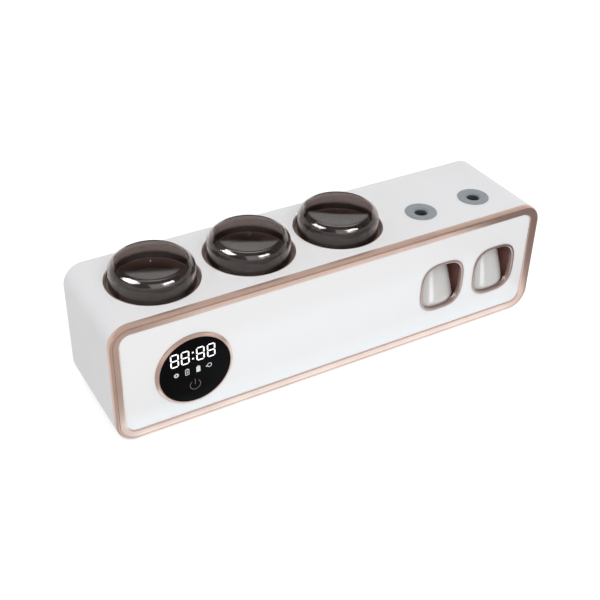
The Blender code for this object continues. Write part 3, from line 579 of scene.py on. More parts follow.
# outer side, rounded rim, crest, fine groove, a gentle bevel that turns steep at the panel,
# lip and spigot as (inset, depth)
def frameRun():
    f = frameBand
    rim = arcLine(f["rimRound"], f["rimRound"], 180, 270, 16)
    groove = f["crest"] + f["land"]
    lipBack = f["drop"] + f["lip"]
    inner = f["width"] - f["seat"]
    outer = housing["wall"] + 0.3 * mm
    rest = softLine(
        [
            (f["crest"], 0.0),
            (groove, 0.0, 0.12 * mm),
            (groove + 0.15 * mm, f["grooveDepth"], 0.1 * mm),
            (groove + f["grooveWidth"] - 0.15 * mm, f["grooveDepth"], 0.1 * mm),
            (groove + f["grooveWidth"], 0.0, 0.1 * mm),
            (f["bevelStart"], 0.0, 0.5 * mm),
            (*f["bevelEnd"], 1.2 * mm),
            (f["width"], f["edgeDrop"]),
            (f["width"], lipBack),
            (inner, lipBack),
            (inner, f["side"] + f["spigot"]),
            (outer, f["side"] + f["spigot"]),
            (outer, f["side"]),
            (0.0, f["side"], 0.15 * mm),
            (0.0, f["side"] - 0.5 * mm),
        ],
        5,
    )
    return np.concatenate([rim, rest[1:]])


def makeFrame():
    run = frameRun()
    rings = roundedRings(bodyHalf, heightHalf, housing["radius"], run[:, 0], 28)
    grid = standUp(rings, frontY + run[:, 1], (0, 0, heightMiddle))
    showGrid("frameBand", grid, "roseGold", ["front_frame"], sharpAngle=45, ring=True)


makeFrame()
print("frame made")

# round display
display = {
    "base": 36.9 * mm, "lens": 33.5 * mm, "proud": 2.5 * mm, "wall": 1.6 * mm, "lip": 1.8 * mm,
    "thick": 2.0 * mm, "board": 1.6 * mm, "gap": 0.3 * mm,
}
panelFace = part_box("front_panel")[0].y
displaySpot = middleOf("display_lens")
displayMiddle = (displaySpot.x, panelFace, displaySpot.z)


# ring with a lip behind the lens, and a flat lens with a soft edge, as turned profiles
def makeDisplay():
    d = display
    bore = d["lens"] + d["gap"]
    sleeve = bore + d["wall"]
    lensBack = d["proud"] - d["thick"]
    lipFront = lensBack - d["gap"]
    lipBack = lipFront - d["thick"] / 2
    ringBack = lipBack - d["board"] - 2 * d["gap"]
    land = d["proud"] + 0.1 * mm
    run = softLine(
        [
            (bore, lipFront),
            (bore, land, 0.25 * mm),
            (bore + 0.95 * mm, land, 0.35 * mm),
            (d["base"] - 0.3 * mm, d["gap"] + 0.7 * mm, 0.5 * mm),
            (d["base"], d["gap"]),
            (sleeve, d["gap"]),
            (sleeve, ringBack),
            (bore, ringBack),
            (bore, lipBack),
            (bore - d["lip"], lipBack),
            (bore - d["lip"], lipFront),
        ],
        6,
    )
    showTurned("displayRing", run, displayMiddle, "roseGold", ["display_ring"], facing="front", ring=True)
    face, edge = d["proud"], d["lens"]
    run = softLine([(0, face), (edge, face, 0.35 * mm), (edge, lensBack, 0.1 * mm), (0, lensBack)], 6)
    showTurned("displayLens", run, displayMiddle, "blackGlass", ["display_lens"], facing="front")


makeDisplay()

# signs lie on the lens: (across, up) in millimetres from the display's middle
signs = {
    "proud": 0.06 * mm, "digitWidth": 7.9, "digitHeight": 14.2, "digitUp": 15.85, "stroke": 1.22,
    "digitLefts": (-22.9, -13.0, 1.3, 11.5), "colonAcross": -1.8, "colonUps": (19.1, 12.5), "dot": 1.5,
    "icons": {"warm": (-18.0, 0.0), "charge": (-7.8, 0.0), "level": (2.7, 0.0), "lamp": (12.5, 0.0)},
    "ring": 0.62, "tooth": (1.75, 0.32, 8), "warmDown": 0.2, "warmInner": (1.1, 0.35),
    "lampRing": (0.9, 0.2, 1.95, 0.6), "power": (-0.7, -16.4), "powerRadius": 5.0,
    "powerTurn": (128, 412), "powerStem": (0.4, 6.2),
}
# straight strips of the icons, from the icon's middle: (start, end, width)
iconStrips = {
    "charge": [
        ((-1.6, -3.0), (1.6, -3.0), 0.55), ((1.6, -3.0), (1.6, 2.7), 0.55),
        ((1.6, 2.7), (-1.6, 2.7), 0.55), ((-1.6, 2.7), (-1.6, -3.0), 0.55),
        ((-0.7, 3.2), (0.7, 3.2), 0.7), ((0.5, 1.5), (-0.45, -0.1), 0.5), ((0.45, -0.1), (-0.5, -1.7), 0.5),
    ],
    "level": [
        ((-1.9, -2.7), (1.9, -2.7), 1.32), ((-1.9, -1.25), (1.9, -1.25), 1.32),
        ((-1.9, 0.2), (1.9, 0.2), 1.32), ((-1.9, 1.65), (1.9, 1.65), 1.32), ((-0.9, 2.9), (0.9, 2.9), 0.7),
    ],
    "lamp": [((-2.6, -0.35), (-1.2, -0.05), 0.9)],
}
signFace = panelFace - display["proud"]


# a flat strip along (across, up) points with a width for each point, as a closed prism
def stripMesh(path, widths, closed=False):
    path = np.asarray(path, float)
    widths = np.broadcast_to(np.asarray(widths, float), len(path))
    if closed:
        ways = np.roll(path, -1, 0) - np.roll(path, 1, 0)
    else:
        ways = np.gradient(path, axis=0)
    ways = ways / np.linalg.norm(ways, axis=1)[:, None]
    sides = np.stack([-ways[:, 1], ways[:, 0]], 1) * widths[:, None] / 2
    left, right = (path + sides) * mm, (path - sides) * mm
    back, face = signFace + 0.01 * mm, signFace - signs["proud"]
    sections = []
    for edge, depth in ((left, face), (right, face), (right, back), (left, back)):
        across, up = (edge + (displayMiddle[0], displayMiddle[2])).T
        sections.append(np.stack([across, np.full(len(path), depth), up], 1))
    grid = np.stack(sections, 1)
    if not closed:
        ends = [np.broadcast_to(grid[i].mean(0), (1, 4, 3)) for i in (0, -1)]
        grid = np.concatenate([ends[0], grid, ends[1]])
    return gridMesh("strip", grid, closed)


# one bar of a figure: a six-sided strip with pointed ends
def barMesh(start, end, stroke):
    start, end = np.array(start, float), np.array(end, float)
    way = (end - start) / np.linalg.norm(end - start)
    path = [start, start + way * stroke / 2, end - way * stroke / 2, end]
    return stripMesh(path, [0.1, stroke, stroke, 0.1])


def figureMeshes(left):
    s = signs
    inset = s["stroke"] / 2
    low, middle, high = (s["digitUp"] + k * (s["digitHeight"] / 2 - inset) for k in (-1, 0, 1))
    west, east = left + inset, left + s["digitWidth"] - inset
    nick = 0.40
    bars = [((west + nick, up), (east - nick, up)) for up in (low, middle, high)]
    for across in (west, east):
        for start, end in ((low, middle), (middle, high)):
            bars.append(((across, start + nick), (across, end - nick)))
    return [barMesh(start, end, s["stroke"]) for start, end in bars]


def circlePath(middle, radius, start=0, end=360, steps=40):
    closed = end - start == 360
    angles = np.radians(np.linspace(start, end, steps + 1))[: steps if closed else None]
    return np.stack([middle[0] + radius * np.cos(angles), middle[1] + radius * np.sin(angles)], 1)


def dotMesh(middle, size):
    return stripMesh([(middle[0] - size / 2, middle[1]), (middle[0] + size / 2, middle[1])], size)


def showSign(name, meshes, skinName):
    showPiece(name, sealed(name, meshes), skinName)


def makeSigns():
    s = signs
    meshes = [bar for left in s["digitLefts"] for bar in figureMeshes(left)]
    meshes += [dotMesh((s["colonAcross"], up), s["dot"]) for up in s["colonUps"]]
    showSign("signFigures", meshes, "lightSign")
    meshes = []
    for icon, strips in iconStrips.items():
        spot = np.array(s["icons"][icon])
        meshes += [stripMesh([spot + start, spot + end], width) for start, end, width in strips]
    # warming sign: a toothed ring, its radius waved by tanh of the sine of its teeth's angle
    warm = np.array(s["icons"]["warm"]) - (0, s["warmDown"])
    radius, high, teeth = s["tooth"]
    angles = np.linspace(0, 2 * math.pi, 96, endpoint=False)
    wave = radius + high * np.tanh(3 * np.sin(teeth * angles))
    toothed = warm + np.stack([wave * np.cos(angles), wave * np.sin(angles)], 1)
    meshes.append(stripMesh(toothed, s["ring"], True))
    radius, width = s["warmInner"]
    meshes.append(stripMesh(circlePath(warm, radius), width, True))
    # lamp sign: a ring before the stem
    across, up, radius, width = s["lampRing"]
    lamp = np.array(s["icons"]["lamp"]) + (across, up)
    meshes.append(stripMesh(circlePath(lamp, radius), width, True))
    showSign("signIcons", meshes, "iconSign")
    spot, radius = s["power"], s["powerRadius"]
    # power sign: a ring open at the top, with an upright stem in the gap
    stem = [(spot[0], spot[1] + up) for up in s["powerStem"]]
    meshes = [stripMesh(path, s["ring"]) for path in (circlePath(spot, radius, *s["powerTurn"]), stem)]
    showSign("signPower", meshes, "powerSign")


makeSigns()
print("display made")

# windows, bays and tanks
window = {
    "power": 3.0, "rim": 2.7 * mm, "proud": 1.0 * mm, "sleeve": 1.3 * mm, "gap": 0.3 * mm,
}


# flange lying on the panel, hollowed slope, inner edge and sleeve as (inset, depth from the panel)
def windowRun(endDepth):
    w = window
    back, face = -w["gap"], -w["gap"] - w["proud"]
    sleeveInset = w["rim"] - w["sleeve"]
    return softLine(
        [
            (sleeveInset, back),
            (0.0, back),
            (0.0, face, 0.45 * mm),
            (w["rim"] * 0.62, face + 0.05 * mm, 0.35 * mm),
            (w["rim"] * 0.86, face + 0.7 * mm, 0.2 * mm),
            (w["rim"], face + 0.75 * mm, 0.2 * mm),
            (w["rim"], endDepth, 0.1 * mm),
            (sleeveInset, endDepth),
        ],
        6,
    )


def makeWindow(number):
    nodeName = f"window_frame_{number}"
    spot = middleOf(nodeName)
    low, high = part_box(nodeName)
    run = windowRun(high.y - panelFace)
    rings = squircleRings((high.x - low.x) / 2, (high.z - low.z) / 2, window["power"], run[:, 0], 200)
    grid = standUp(rings, panelFace + run[:, 1], (spot.x, 0, spot.z))
    showGrid(f"windowRim{number}", grid, "rimGold", [nodeName], sharpAngle=45, ring=True)


bay = {"radius": 12 * mm, "wall": 1.5 * mm, "neckHole": 15.0 * mm, "neckReach": 4 * mm}


# an open-fronted box with round long edges and a hole for the neck
def makeBay(number):
    nodeName = f"tank_bay_{number}"
    low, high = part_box(nodeName)
    spot = (low + high) / 2
    wall = bay["wall"]
    run = softLine([(wall, high.y - wall), (wall, low.y), (0, low.y), (0, high.y, mm), (2 * mm, high.y)], 5)
    rings = roundedRings((high.x - low.x) / 2, (high.z - low.z) / 2, bay["radius"] + wall, run[:, 0], 12)
    shell = cappedMesh("tankBay", standUp(rings, run[:, 1], (spot.x, 0, spot.z)))
    neck = middleOf(f"port_collar_{number}")
    radius, reach = bay["neckHole"], bay["neckReach"]
    run = [(0, -reach), (radius, -reach), (radius, reach), (0, reach)]
    hole = turnedGrid(run, (neck.x, neck.y, high.z), steps=96)
    shell = cutOut(shell, [sealed("hole", [gridMesh("hole", hole)])])
    showPiece(f"tankBay{number}", shell, "brownBay", [nodeName], sharpAngle=30)


tank = {
    "power": 2.8, "foot": 9 * mm, "grow": 0.9 * mm, "topShare": 0.58, "taper": 1.1, "wall": 2.2 * mm,
    "neckBore": 12.7 * mm, "neckWall": 2.0 * mm, "capRise": 11.7 * mm,
    "footSteps": 14, "sideSteps": 40, "topSteps": 18,
}


# squircle sections scaled by a share and moved in, laid at a row of heights
def tankSections(number, shares, aways, ups):
    low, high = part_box(f"oil_tank_{number}")
    half = np.array([high.x - low.x, high.y - low.y]) / 2 + tank["grow"]
    unit = squircleRings(1, 1, tank["power"], [0])[0]
    rings = unit[None] * (half * np.asarray(shares)[:, None] - np.asarray(aways)[:, None])[:, None]
    return layDown(rings, ups, ((low.x + high.x) / 2, (low.y + high.y) / 2, 0))


# the cup: an inset that follows the foot's quarter circle, then a share that falls with
# height to the power of the taper
def cupRings(number, inset):
    t = tank
    low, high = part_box(f"oil_tank_{number}")
    angle = np.linspace(0, math.pi / 2, t["footSteps"])
    footUp = low.z + inset + t["foot"] * (1 - np.cos(angle)) * (t["foot"] - inset) / t["foot"]
    along = np.linspace(0, 1, t["sideSteps"])[1:]
    shares = np.concatenate([np.ones(len(angle)), 1 - (1 - t["topShare"]) * along ** t["taper"]])
    aways = np.concatenate([t["foot"] * (1 - np.sin(angle)), 0 * along]) + inset
    ups = np.concatenate([footUp, low.z + t["foot"] + (high.z - low.z - t["foot"]) * along])
    return tankSections(number, shares, aways, ups)


# the cap: the cup's rim section changes to the neck's circle over an eased quarter turn
def capRings(number, inset):
    t = tank
    low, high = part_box(f"tank_cap_{number}")
    neck = middleOf(f"port_collar_{number}")
    rim = tankSections(number, [t["topShare"]], [inset], [low.z])
    turn = np.linspace(0, 2 * math.pi, rim.shape[1], endpoint=False)
    radius = t["neckBore"] + (0 if inset else t["neckWall"])
    circle = np.stack([neck.x + radius * np.cos(turn), neck.y + radius * np.sin(turn), 0 * turn], 1)
    ease = np.linspace(0, math.pi / 2, t["topSteps"])
    draw = (1 - np.cos(ease))[:, None, None]
    rings = rim * (1 - draw) + circle[None] * draw
    rings[..., 2] = low.z + (t["capRise"] - inset) * np.sin(ease)[:, None]
    mouth = circle + (0, 0, high.z)
    return np.concatenate([rings, mouth[None]])


def makeTank(number):
    outer, inner = cupRings(number, 0.0), cupRings(number, tank["wall"])
    pole = [np.broadcast_to(g[0].mean(0), (1,) + g[0].shape) for g in (outer, inner)]
    grid = np.concatenate([pole[0], outer, inner[::-1], pole[1]])
    showGrid(f"oilTank{number}", grid, "whiteTank", [f"oil_tank_{number}"], sharpAngle=50)
    grid = np.concatenate([capRings(number, 0.0), capRings(number, tank["wall"])[::-1]])
    showGrid(f"tankCap{number}", grid, "whiteTank", [f"tank_cap_{number}"], sharpAngle=50, ring=True)


collar = {
    "mouth": 8.0 * mm, "bore": 6.2 * mm, "cone": 1.7 * mm, "plug": 12.4 * mm, "gap": 0.3 * mm,
    # painted shade of the bore: its dark colour and the heights over which it blends in
    "boreShade": (0.045, 0.050, 0.055), "boreShadeUps": (-2.4 * mm, -0.4 * mm),
}


# painted shade: the silicone's colour gets darker down the bore, a blend over the height
def paintBoreShade():
    tree = skins["greySilicone"].node_tree
    shader = tree.nodes["Principled BSDF"]
    tint = shader.inputs["Base Color"].links[0].from_socket
    height = node(tree, "SeparateXYZ", {0: placeOn(tree)}).outputs["Z"]
    unshaded = spread(tree, height, 0, 1, *[bodyTop + up for up in collar["boreShadeUps"]])
    feed(tree, shader, {"Base Color": blendColours(tree, unshaded, collar["boreShade"], tint)})


paintBoreShade()


# flat flange with a soft edge, a cone down to the bore, and the plug under it
def makeCollar(number):
    nodeName = f"port_collar_{number}"
    low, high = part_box(nodeName)
    spot = (low + high) / 2
    radius = (high.x - low.x) / 2
    flange, foot = high.z - bodyTop, low.z - bodyTop
    c = collar
    run = softLine(
        [
            (c["bore"], foot + mm),
            (c["bore"], flange - c["cone"], 0.5 * mm),
            (c["mouth"], flange, 1.2 * mm),
            (radius, flange, 0.55 * mm),
            (radius, c["gap"]),
            (c["plug"], c["gap"]),
            (c["plug"], foot, 0.3 * mm),
            (c["bore"], foot),
        ],
        8,
    )
    middle = (spot.x, spot.y, bodyTop)
    showTurned(f"portCollar{number}", run, middle, "greySilicone", [nodeName], ring=True)


for number in (1, 2):
    makeWindow(number)
    makeBay(number)
    makeTank(number)
    makeCollar(number)
print("windows, tanks and collars made")

# wells, stones and lids
liner = {
    "wall": 1.5 * mm, "flange": 3.5 * mm, "flangeThick": 1.8 * mm, "ledge": 4.3 * mm, "bore": 36.2 * mm,
    "mouth": 42.1 * mm, "round": 3.0 * mm, "depth": 26.0 * mm, "rim": -0.9 * mm,
}


# pot with rounded floor, a ledge that carries the lid, a mouth and a flange under the shell
def makeLiner(number):
    nodeName = f"well_liner_{number}"
    spot = middleOf(nodeName)
    v = liner
    mouthIn = v["mouth"] - v["wall"]
    flangeTop = -housing["wall"] - 0.3 * mm
    flangeLow = flangeTop - v["flangeThick"]
    pot = v["bore"] + v["wall"]
    run = softLine(
        [
            (0, -v["depth"]),
            (v["bore"], -v["depth"], v["round"]),
            (v["bore"], -v["ledge"], 0.5 * mm),
            (mouthIn, -v["ledge"], 0.5 * mm),
            (mouthIn, v["rim"], 0.4 * mm),
            (v["mouth"], v["rim"] - 0.1 * mm, 0.3 * mm),
            (v["mouth"], flangeTop),
            (v["mouth"] + v["flange"], flangeTop),
            (v["mouth"] + v["flange"], flangeLow),
            (pot, flangeLow - 2 * mm, mm),
            (pot, -v["depth"] - v["wall"], v["round"] + v["wall"]),
            (0, -v["depth"] - v["wall"]),
        ],
        8,
    )
    showTurned(f"wellLiner{number}", run, (spot.x, spot.y, bodyTop), "bronzeLiner", [nodeName])


stone = {"power": 2.3, "columns": 192, "rows": 96, "wander": 0.018, "foot": 0.985}


# |r/R|^p + |z/h|^p = 1 pulled in a little by slow waves round and over it
def makeStone(number):
    nodeName = f"stone_{number}"
    low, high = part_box(nodeName)
    spot = (low + high) / 2
    radius, half = (high.x - low.x) / 2, (high.z - low.z) / 2
    lift = np.linspace(math.pi / 2, -math.pi / 2, stone["rows"])[:, None]
    turn = np.linspace(0, 2 * math.pi, stone["columns"], endpoint=False)[None]
    out = np.cos(lift).clip(0, 1) ** (2 / stone["power"])
    up = np.sign(np.sin(lift)) * np.abs(np.sin(lift)) ** (2 / stone["power"])
    rng = np.random.default_rng(40 + number)
    waves = np.zeros((stone["rows"], stone["columns"]))
    for k in range(1, 7):
        phase, tilt = rng.uniform(0, 2 * math.pi, 2)
        waves += np.cos(k * turn + phase) * np.cos(k * 0.8 * lift + tilt) / k
    shrink = 1 - stone["wander"] * (1 + waves / np.abs(waves).max())
    shrink = 1 - (1 - shrink) * np.cos(lift).clip(0, 1) ** 0.5
    across = radius * out * shrink * np.cos(turn)
    along = radius * out * shrink * np.sin(turn)
    height = np.broadcast_to(half * up, across.shape)
    height = np.maximum(height * (1 - (1 - shrink) * 0.6), -half)
    height = np.where(height < -half * stone["foot"], -half, height)
    grid = np.stack([across + spot.x, along + spot.y, height + spot.z], 2)
    showGrid(f"stonePebble{number}", grid, "lavaStone", [nodeName], nodeName, 60)


lid = {
    "edge": 30.0 * mm, "rimTop": 18.1 * mm, "dish": 1.4 * mm, "foot": -4.0 * mm,
    "outside": [
        (32.2, 18.1, 2.5), (35.3, 16.05, 8.0), (37.35, 12.9, 6.0), (37.9, 10.5, 0.3), (38.4, -4.0, 0.4)
    ],
    "inside": [(31.3, 16.3, 1.5), (33.9, 14.6, 6.0), (35.6, 12.2, 4.0), (36.1, 10.4, 0.3), (36.6, -4.0)],
    "wall": 1.8 * mm, "gate": 1.9 * mm, "gateUp": 0.35 * mm, "steps": 224,
}


# top dished as a parabola that runs into a rounded rim, a sloping shoulder and a straight skirt
def lidRun(inside):
    v = lid
    wall = v["wall"] if inside else 0.0
    edge = v["edge"] - wall
    out = np.linspace(0, 1, 30)
    top = np.stack([edge * out, v["rimTop"] - wall - v["dish"] * (1 - out**2)], 1)
    top[:, 1] -= 0.08 * mm * out**2
    corners = [tuple(value * mm for value in corner) for corner in v["inside" if inside else "outside"]]
    if inside:
        return np.concatenate([top, softLine([tuple(top[-1]), *corners], 14)[1:]])
    # gate mark: a small raised ring round a dot
    gate, high = v["gate"], v["gateUp"]
    mark = [(0, 1), (0.3, 1), (0.45, 0.2), (0.6, 0.2), (0.72, 1), (0.9, 1), (1, 0)]
    mark = np.array(mark) * (gate, high) + (0, v["rimTop"] - v["dish"])
    last = (v["inside"][-1][0] * mm + 0.2 * mm, v["foot"])
    sides = softLine([tuple(top[-1]), *corners, last], 14)
    return np.concatenate([mark, top[3:], sides[1:]])


def makeLid(number):
    nodeName = f"lid_{number}"
    spot = middleOf(nodeName)
    run = np.concatenate([lidRun(False), lidRun(True)[::-1]])
    middle = (spot.x, spot.y, bodyTop)
    showTurned(f"smokedLid{number}", run, middle, "smokedClear", [nodeName], nodeName, steps=lid["steps"])


for number in (1, 2, 3):
    makeLiner(number)
    makeStone(number)
    makeLid(number)
print("wells, stones and lids made")

# feet, screws and inlet
foot = {"edge": 0.6 * mm, "groove": 0.25 * mm}


# a disc with a soft edge and a ring groove in its face
def makeFoot(number):
    nodeName = f"foot_{number}"
    low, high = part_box(nodeName)
    radius = (high.x - low.x) / 2
    tall = high.z - low.z
    run = softLine(
        [
            (0, tall),
            (radius, tall),
            (radius, 0, foot["edge"]),
            (radius * 0.62, 0, 0.1 * mm),
            (radius * 0.58, foot["groove"], 0.1 * mm),
            (radius * 0.50, foot["groove"], 0.1 * mm),
            (radius * 0.46, 0, 0.1 * mm),
            (0, 0),
        ],
        5,
    )
    middle = ((low.x + high.x) / 2, (low.y + high.y) / 2, low.z)
    showTurned(f"rubberFoot{number}", run, middle, "blackRubber", [nodeName], steps=72)


screw = {
    "slot": 0.45 * mm, "reach": 1.6 * mm, "deep": 0.9 * mm, "thread": 1.1 * mm, "depth": 0.18 * mm,
    "shank": 1.25 * mm, "point": 1.2 * mm, "faceRows": 24,
}


# a polar grid: shank with a helical thread, cone, and a head whose cross recess
# is a depth that falls off on both arms
def makeScrew(number):
    nodeName = f"cover_screw_{number}"
    low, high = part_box(nodeName)
    middle = np.array([(low.x + high.x) / 2, (low.y + high.y) / 2, low.z])
    head = (high.x - low.x) / 2
    tall = high.z - low.z
    shank, faceRows = screw["shank"], screw["faceRows"]
    neck = head - shank
    turn = np.linspace(0, 2 * math.pi, 64, endpoint=False)[None]
    heights = np.linspace(tall - screw["point"], neck + 0.2 * mm, 90)[:, None]
    ridge = np.abs(((heights / screw["thread"] + turn / (2 * math.pi)) % 1) * 2 - 1)
    fade = np.clip((heights - neck) / mm, 0, 1)
    threadRadius = shank - screw["depth"] * ridge * fade
    tip = np.array([0.0, 0.35 * shank])[:, None] + 0 * turn
    cone = np.array([head - 0.05 * mm, head])[:, None] + 0 * turn
    faceRadius = np.linspace(1, 0, faceRows)[:, None] * (head - 0.05 * mm) + 0 * turn
    radius = np.concatenate([tip, threadRadius, cone, faceRadius])
    coneUps = np.array([0.25 * mm, 0.06 * mm])
    height = np.concatenate([[tall, tall], heights[:, 0], coneUps, np.zeros(faceRows)])[:, None] + 0 * turn
    x, y = radius * np.cos(turn), radius * np.sin(turn)
    arm = np.minimum(np.abs(x), np.abs(y))
    inside = np.clip((screw["slot"] - arm) / (0.25 * mm), 0, 1)
    ending = np.clip((screw["reach"] - radius) / (0.6 * mm), 0, 1)
    recess = screw["deep"] * inside * ending
    recess[:-faceRows] = 0
    grid = np.stack([x, y, height + recess], 2) + middle
    showGrid(f"coverScrew{number}", grid, "zincSteel", [nodeName], sharpAngle=35)


inlet = {
    "bore": 3.3 * mm, "deep": 9.5 * mm, "barrel": 5.0 * mm, "flangeBack": 2.9 * mm, "flangeThick": 1.8 * mm,
    "pin": 0.65 * mm, "pinTip": -2 * mm, "pinRoot": -9.3 * mm,
}


# a deep bore in a barrel with a flange inside the shell, and a pin in the bore
def makeInlet():
    low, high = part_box("dc_inlet")
    spot = (low + high) / 2
    v = inlet
    barrel, flange = v["barrel"], (high.x - low.x) / 2
    flangeBack, flangeFront = -v["flangeBack"], -v["flangeBack"] - v["flangeThick"]
    start = high.y - shellHigh.y
    end = low.y - shellHigh.y
    run = softLine(
        [
            (0, -v["deep"]),
            (v["bore"], -v["deep"], 0.3 * mm),
            (v["bore"], start, 0.45 * mm),
            (barrel, start, 0.3 * mm),
            (barrel, flangeBack),
            (flange, flangeBack, 0.3 * mm),
            (flange, flangeFront, 0.3 * mm),
            (barrel, flangeFront),
            (barrel, end),
            (0, end),
        ],
        6,
    )
    middle = (spot.x, shellHigh.y, spot.z)
    showTurned("inletSocket", run, middle, "blackPlastic", ["dc_inlet"], facing="back", steps=96)
    pin, tip, root = v["pin"], v["pinTip"], v["pinRoot"]
    run = softLine([(0, tip), (pin, tip, 0.4 * mm), (pin, root), (0, root)], 6)
    showTurned("inletPin", run, middle, "zincSteel", facing="back", steps=32)


for number in range(1, 5):
    makeFoot(number)
for number in range(1, 7):
    makeScrew(number)
makeInlet()
print("feet, screws and inlet made")

# floor, world, lamps and camera
studio = {
    "floorSize": 6.0, "floorGrey": 0.60, "floorGlow": 0.60, "ambient": 0.80,
    # what mirrors see of the floor: two greys, left and right, a white card in front, a
    # brighter strip at the foot and the rest behind; each edge is a start and an end in metres
    "greys": (0.66, 0.33), "greyEdge": (0.19, 0.26),
    "card": (1.26, 1.34, 1.38), "cardLeft": (-0.135, -0.105), "cardRight": (0.235, 0.250),
    "cardFront": (-0.165, -0.140),
    "strip": (1.60, 2.00, 2.22), "stripLeft": (-0.225, -0.200), "stripRight": (0.205, 0.232),
    "stripFront": (-0.090, -0.072), "rest": (1.0, 1.0, 1.0), "behind": (-0.058, -0.048),
    # what mirrors see of the room: (height of the direction, brightness)
    "room": [(-1.0, 1.0), (0.452, 1.0), (0.466, 0.0), (0.52, 0.03), (0.58, 0.20), (1.0, 0.22)],
}


def makeFloor():
    half = studio["floorSize"] / 2
    mesh = bpy.data.meshes.new("floor")
    corners = [(-half, -half, 0), (half, -half, 0), (half, half, 0), (-half, half, 0)]
    mesh.from_pydata(corners, [], [(0, 1, 2, 3)])
    floor = bpy.data.objects.new("floor", mesh)
    bpy.context.scene.collection.objects.link(floor)
    skin = bpy.data.materials.new("floorPale")
    skin.use_nodes = True
    tree = skin.node_tree
    tree.nodes.remove(tree.nodes["Principled BSDF"])
    matt = node(tree, "BsdfDiffuse", {"Color": (studio["floorGrey"],) * 3 + (1,)})
    seen = node(tree, "LightPath").outputs["Is Camera Ray"]
    glow = node(tree, "Emission", {"Strength": reckon(tree, "MULTIPLY", seen, studio["floorGlow"])})
    lit = node(tree, "AddShader", {0: matt.outputs[0], 1: glow.outputs[0]})
    # mirrors see a plain brightness instead: the greys, overlaid by the card, the strip, the rest
    spot = node(tree, "SeparateXYZ", {0: placeOn(tree)})
    across, along = spot.outputs["X"], spot.outputs["Y"]
    level = spread(tree, across, *studio["greys"], *studio["greyEdge"])
    masks = {"rest": spread(tree, along, 0, 1, *studio["behind"])}
    for name in ("card", "strip"):
        left = spread(tree, across, 0, 1, *studio[name + "Left"])
        right = spread(tree, across, 1, 0, *studio[name + "Right"])
        front = spread(tree, along, 0, 1, *studio[name + "Front"])
        masks[name] = reckon(tree, "MULTIPLY", reckon(tree, "MULTIPLY", left, right), front)
    for name in ("card", "strip", "rest"):
        level = blendColours(tree, masks[name], level, studio[name])
    showSurface(tree, mirrorRays(tree), lit, node(tree, "Emission", {"Color": level}))
    mesh.materials.append(skin)


# white to the camera, even light on matt surfaces, and for mirrors a white backdrop under a
# dark ceiling: brightness from a ramp over the direction's height
def makeWorld():
    world = bpy.data.worlds.new("studioWorld")
    bpy.context.scene.world = world
    world.use_nodes = True
    tree = world.node_tree
    sky = tree.nodes["Background"]
    sky.inputs["Color"].default_value = (1, 1, 1, 1)
    height = node(tree, "SeparateXYZ", {0: placeOn(tree, "Generated")}).outputs["Z"]
    ramp = node(tree, "ValToRGB", {"Fac": spread(tree, height, 0, 1, -1, 1)})
    while len(ramp.color_ramp.elements) < len(studio["room"]):
        ramp.color_ramp.elements.new(1.0)
    for stop, (up, bright) in zip(ramp.color_ramp.elements, studio["room"]):
        stop.position = (up + 1) / 2
        stop.color = (bright, bright, bright, 1)
    mix = {0: mirrorRays(tree), 2: studio["ambient"], 3: ramp.outputs["Color"]}
    level = node(tree, "Mix", mix, data_type="FLOAT").outputs[0]
    seen = node(tree, "LightPath").outputs["Is Camera Ray"]
    feed(tree, sky, {"Strength": reckon(tree, "MAXIMUM", seen, level)})


# each lamp: where it hangs, where it points, its width and height and how bright its face is;
# "only" names the pieces that a reflector is for, "not" those that a lamp passes over
glossyPieces = ("smokedLid", "displayLens", "oilTank")
metalPieces = ("frameBand", "displayRing", "windowRim")
lamps = {
    "key": {
        "at": (-0.20, -1.10, 1.05), "to": (0, 0, 0.05), "size": (1.1, 1.0), "level": 2.3,
        "not": metalPieces,
    },
    "leftBox": {
        "at": (-0.80, 0.17, 1.00), "to": (-0.07, 0, 0.14), "size": (0.60, 0.55), "level": 26.0,
        "only": glossyPieces,
    },
    "rightBox": {
        "at": (0.22, -0.78, 0.90), "to": (-0.07, 0, 0.14), "size": (0.50, 0.42), "level": 26.0,
        "only": glossyPieces,
    },
    "roof": {"at": (0.3, 0, 0.9), "to": (0.3, 0, 0), "size": (3.2, 3.2), "level": 0.50, "only": metalPieces},
}
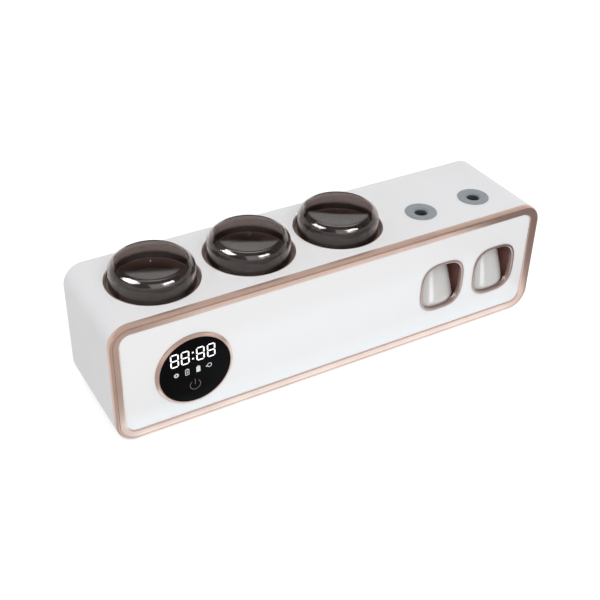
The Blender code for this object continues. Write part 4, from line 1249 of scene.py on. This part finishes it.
# low reflectors whose streak stands in each tank
for number, at, to in ((1, 0.158, 0.10), (2, 0.226, 0.162)):
    lamps[f"strip{number}"] = {
        "at": (at, -0.20, 0.012), "to": (to, -0.05, 0.06), "size": (0.045, 0.09), "level": 4.2,
        "only": (f"oilTank{number}",),
    }


def makeLamps():
    for name, lamp in lamps.items():
        width, height = lamp["size"]
        light = bpy.data.lights.new(name, "AREA")
        light.shape = "RECTANGLE"
        light.size, light.size_y = width, height
        light.energy = lamp["level"] * math.pi * width * height
        holder = bpy.data.objects.new(name, light)
        bpy.context.scene.collection.objects.link(holder)
        holder.location = lamp["at"]
        holder.rotation_euler = (Vector(lamp["to"]) - Vector(lamp["at"])).to_track_quat("-Z", "Y").to_euler()
        lit = bpy.data.collections.new(name + "Lit")
        for thing in bpy.data.objects:
            wanted = thing.name.startswith(lamp.get("only", ""))
            if thing.type == "MESH" and wanted and not thing.name.startswith(lamp.get("not", ("-",))):
                lit.objects.link(thing)
        holder.light_linking.receiver_collection = lit
        holder.visible_diffuse = "only" not in lamp
        holder.visible_camera = False


# the camera looks along azimuth and elevation at a spot, turned a little about its own axis
view = {
    "azimuth": -30.688, "elevation": 35.067, "roll": 1.495, "lens": 62.6345, "sensor": 36.0,
    "place": (-0.43203, -0.70553, 0.62702),
}


def makeCamera():
    azimuth, elevation = math.radians(view["azimuth"]), math.radians(view["elevation"])
    level = math.cos(elevation)
    back = Vector((math.sin(azimuth) * level, -math.cos(azimuth) * level, math.sin(elevation)))
    eye = bpy.data.cameras.new("viewCamera")
    eye.lens, eye.sensor_width = view["lens"], view["sensor"]
    camera = bpy.data.objects.new("viewCamera", eye)
    bpy.context.scene.collection.objects.link(camera)
    camera.location = view["place"]
    camera.rotation_mode = "QUATERNION"
    aim = (-back).to_track_quat("-Z", "Y")
    camera.rotation_quaternion = aim @ Quaternion((0, 0, 1), math.radians(view["roll"]))
    bpy.context.scene.camera = camera


makeFloor()
makeWorld()
makeLamps()
makeCamera()
bpy.context.scene.view_settings.view_transform = "Standard"
print("studio made")
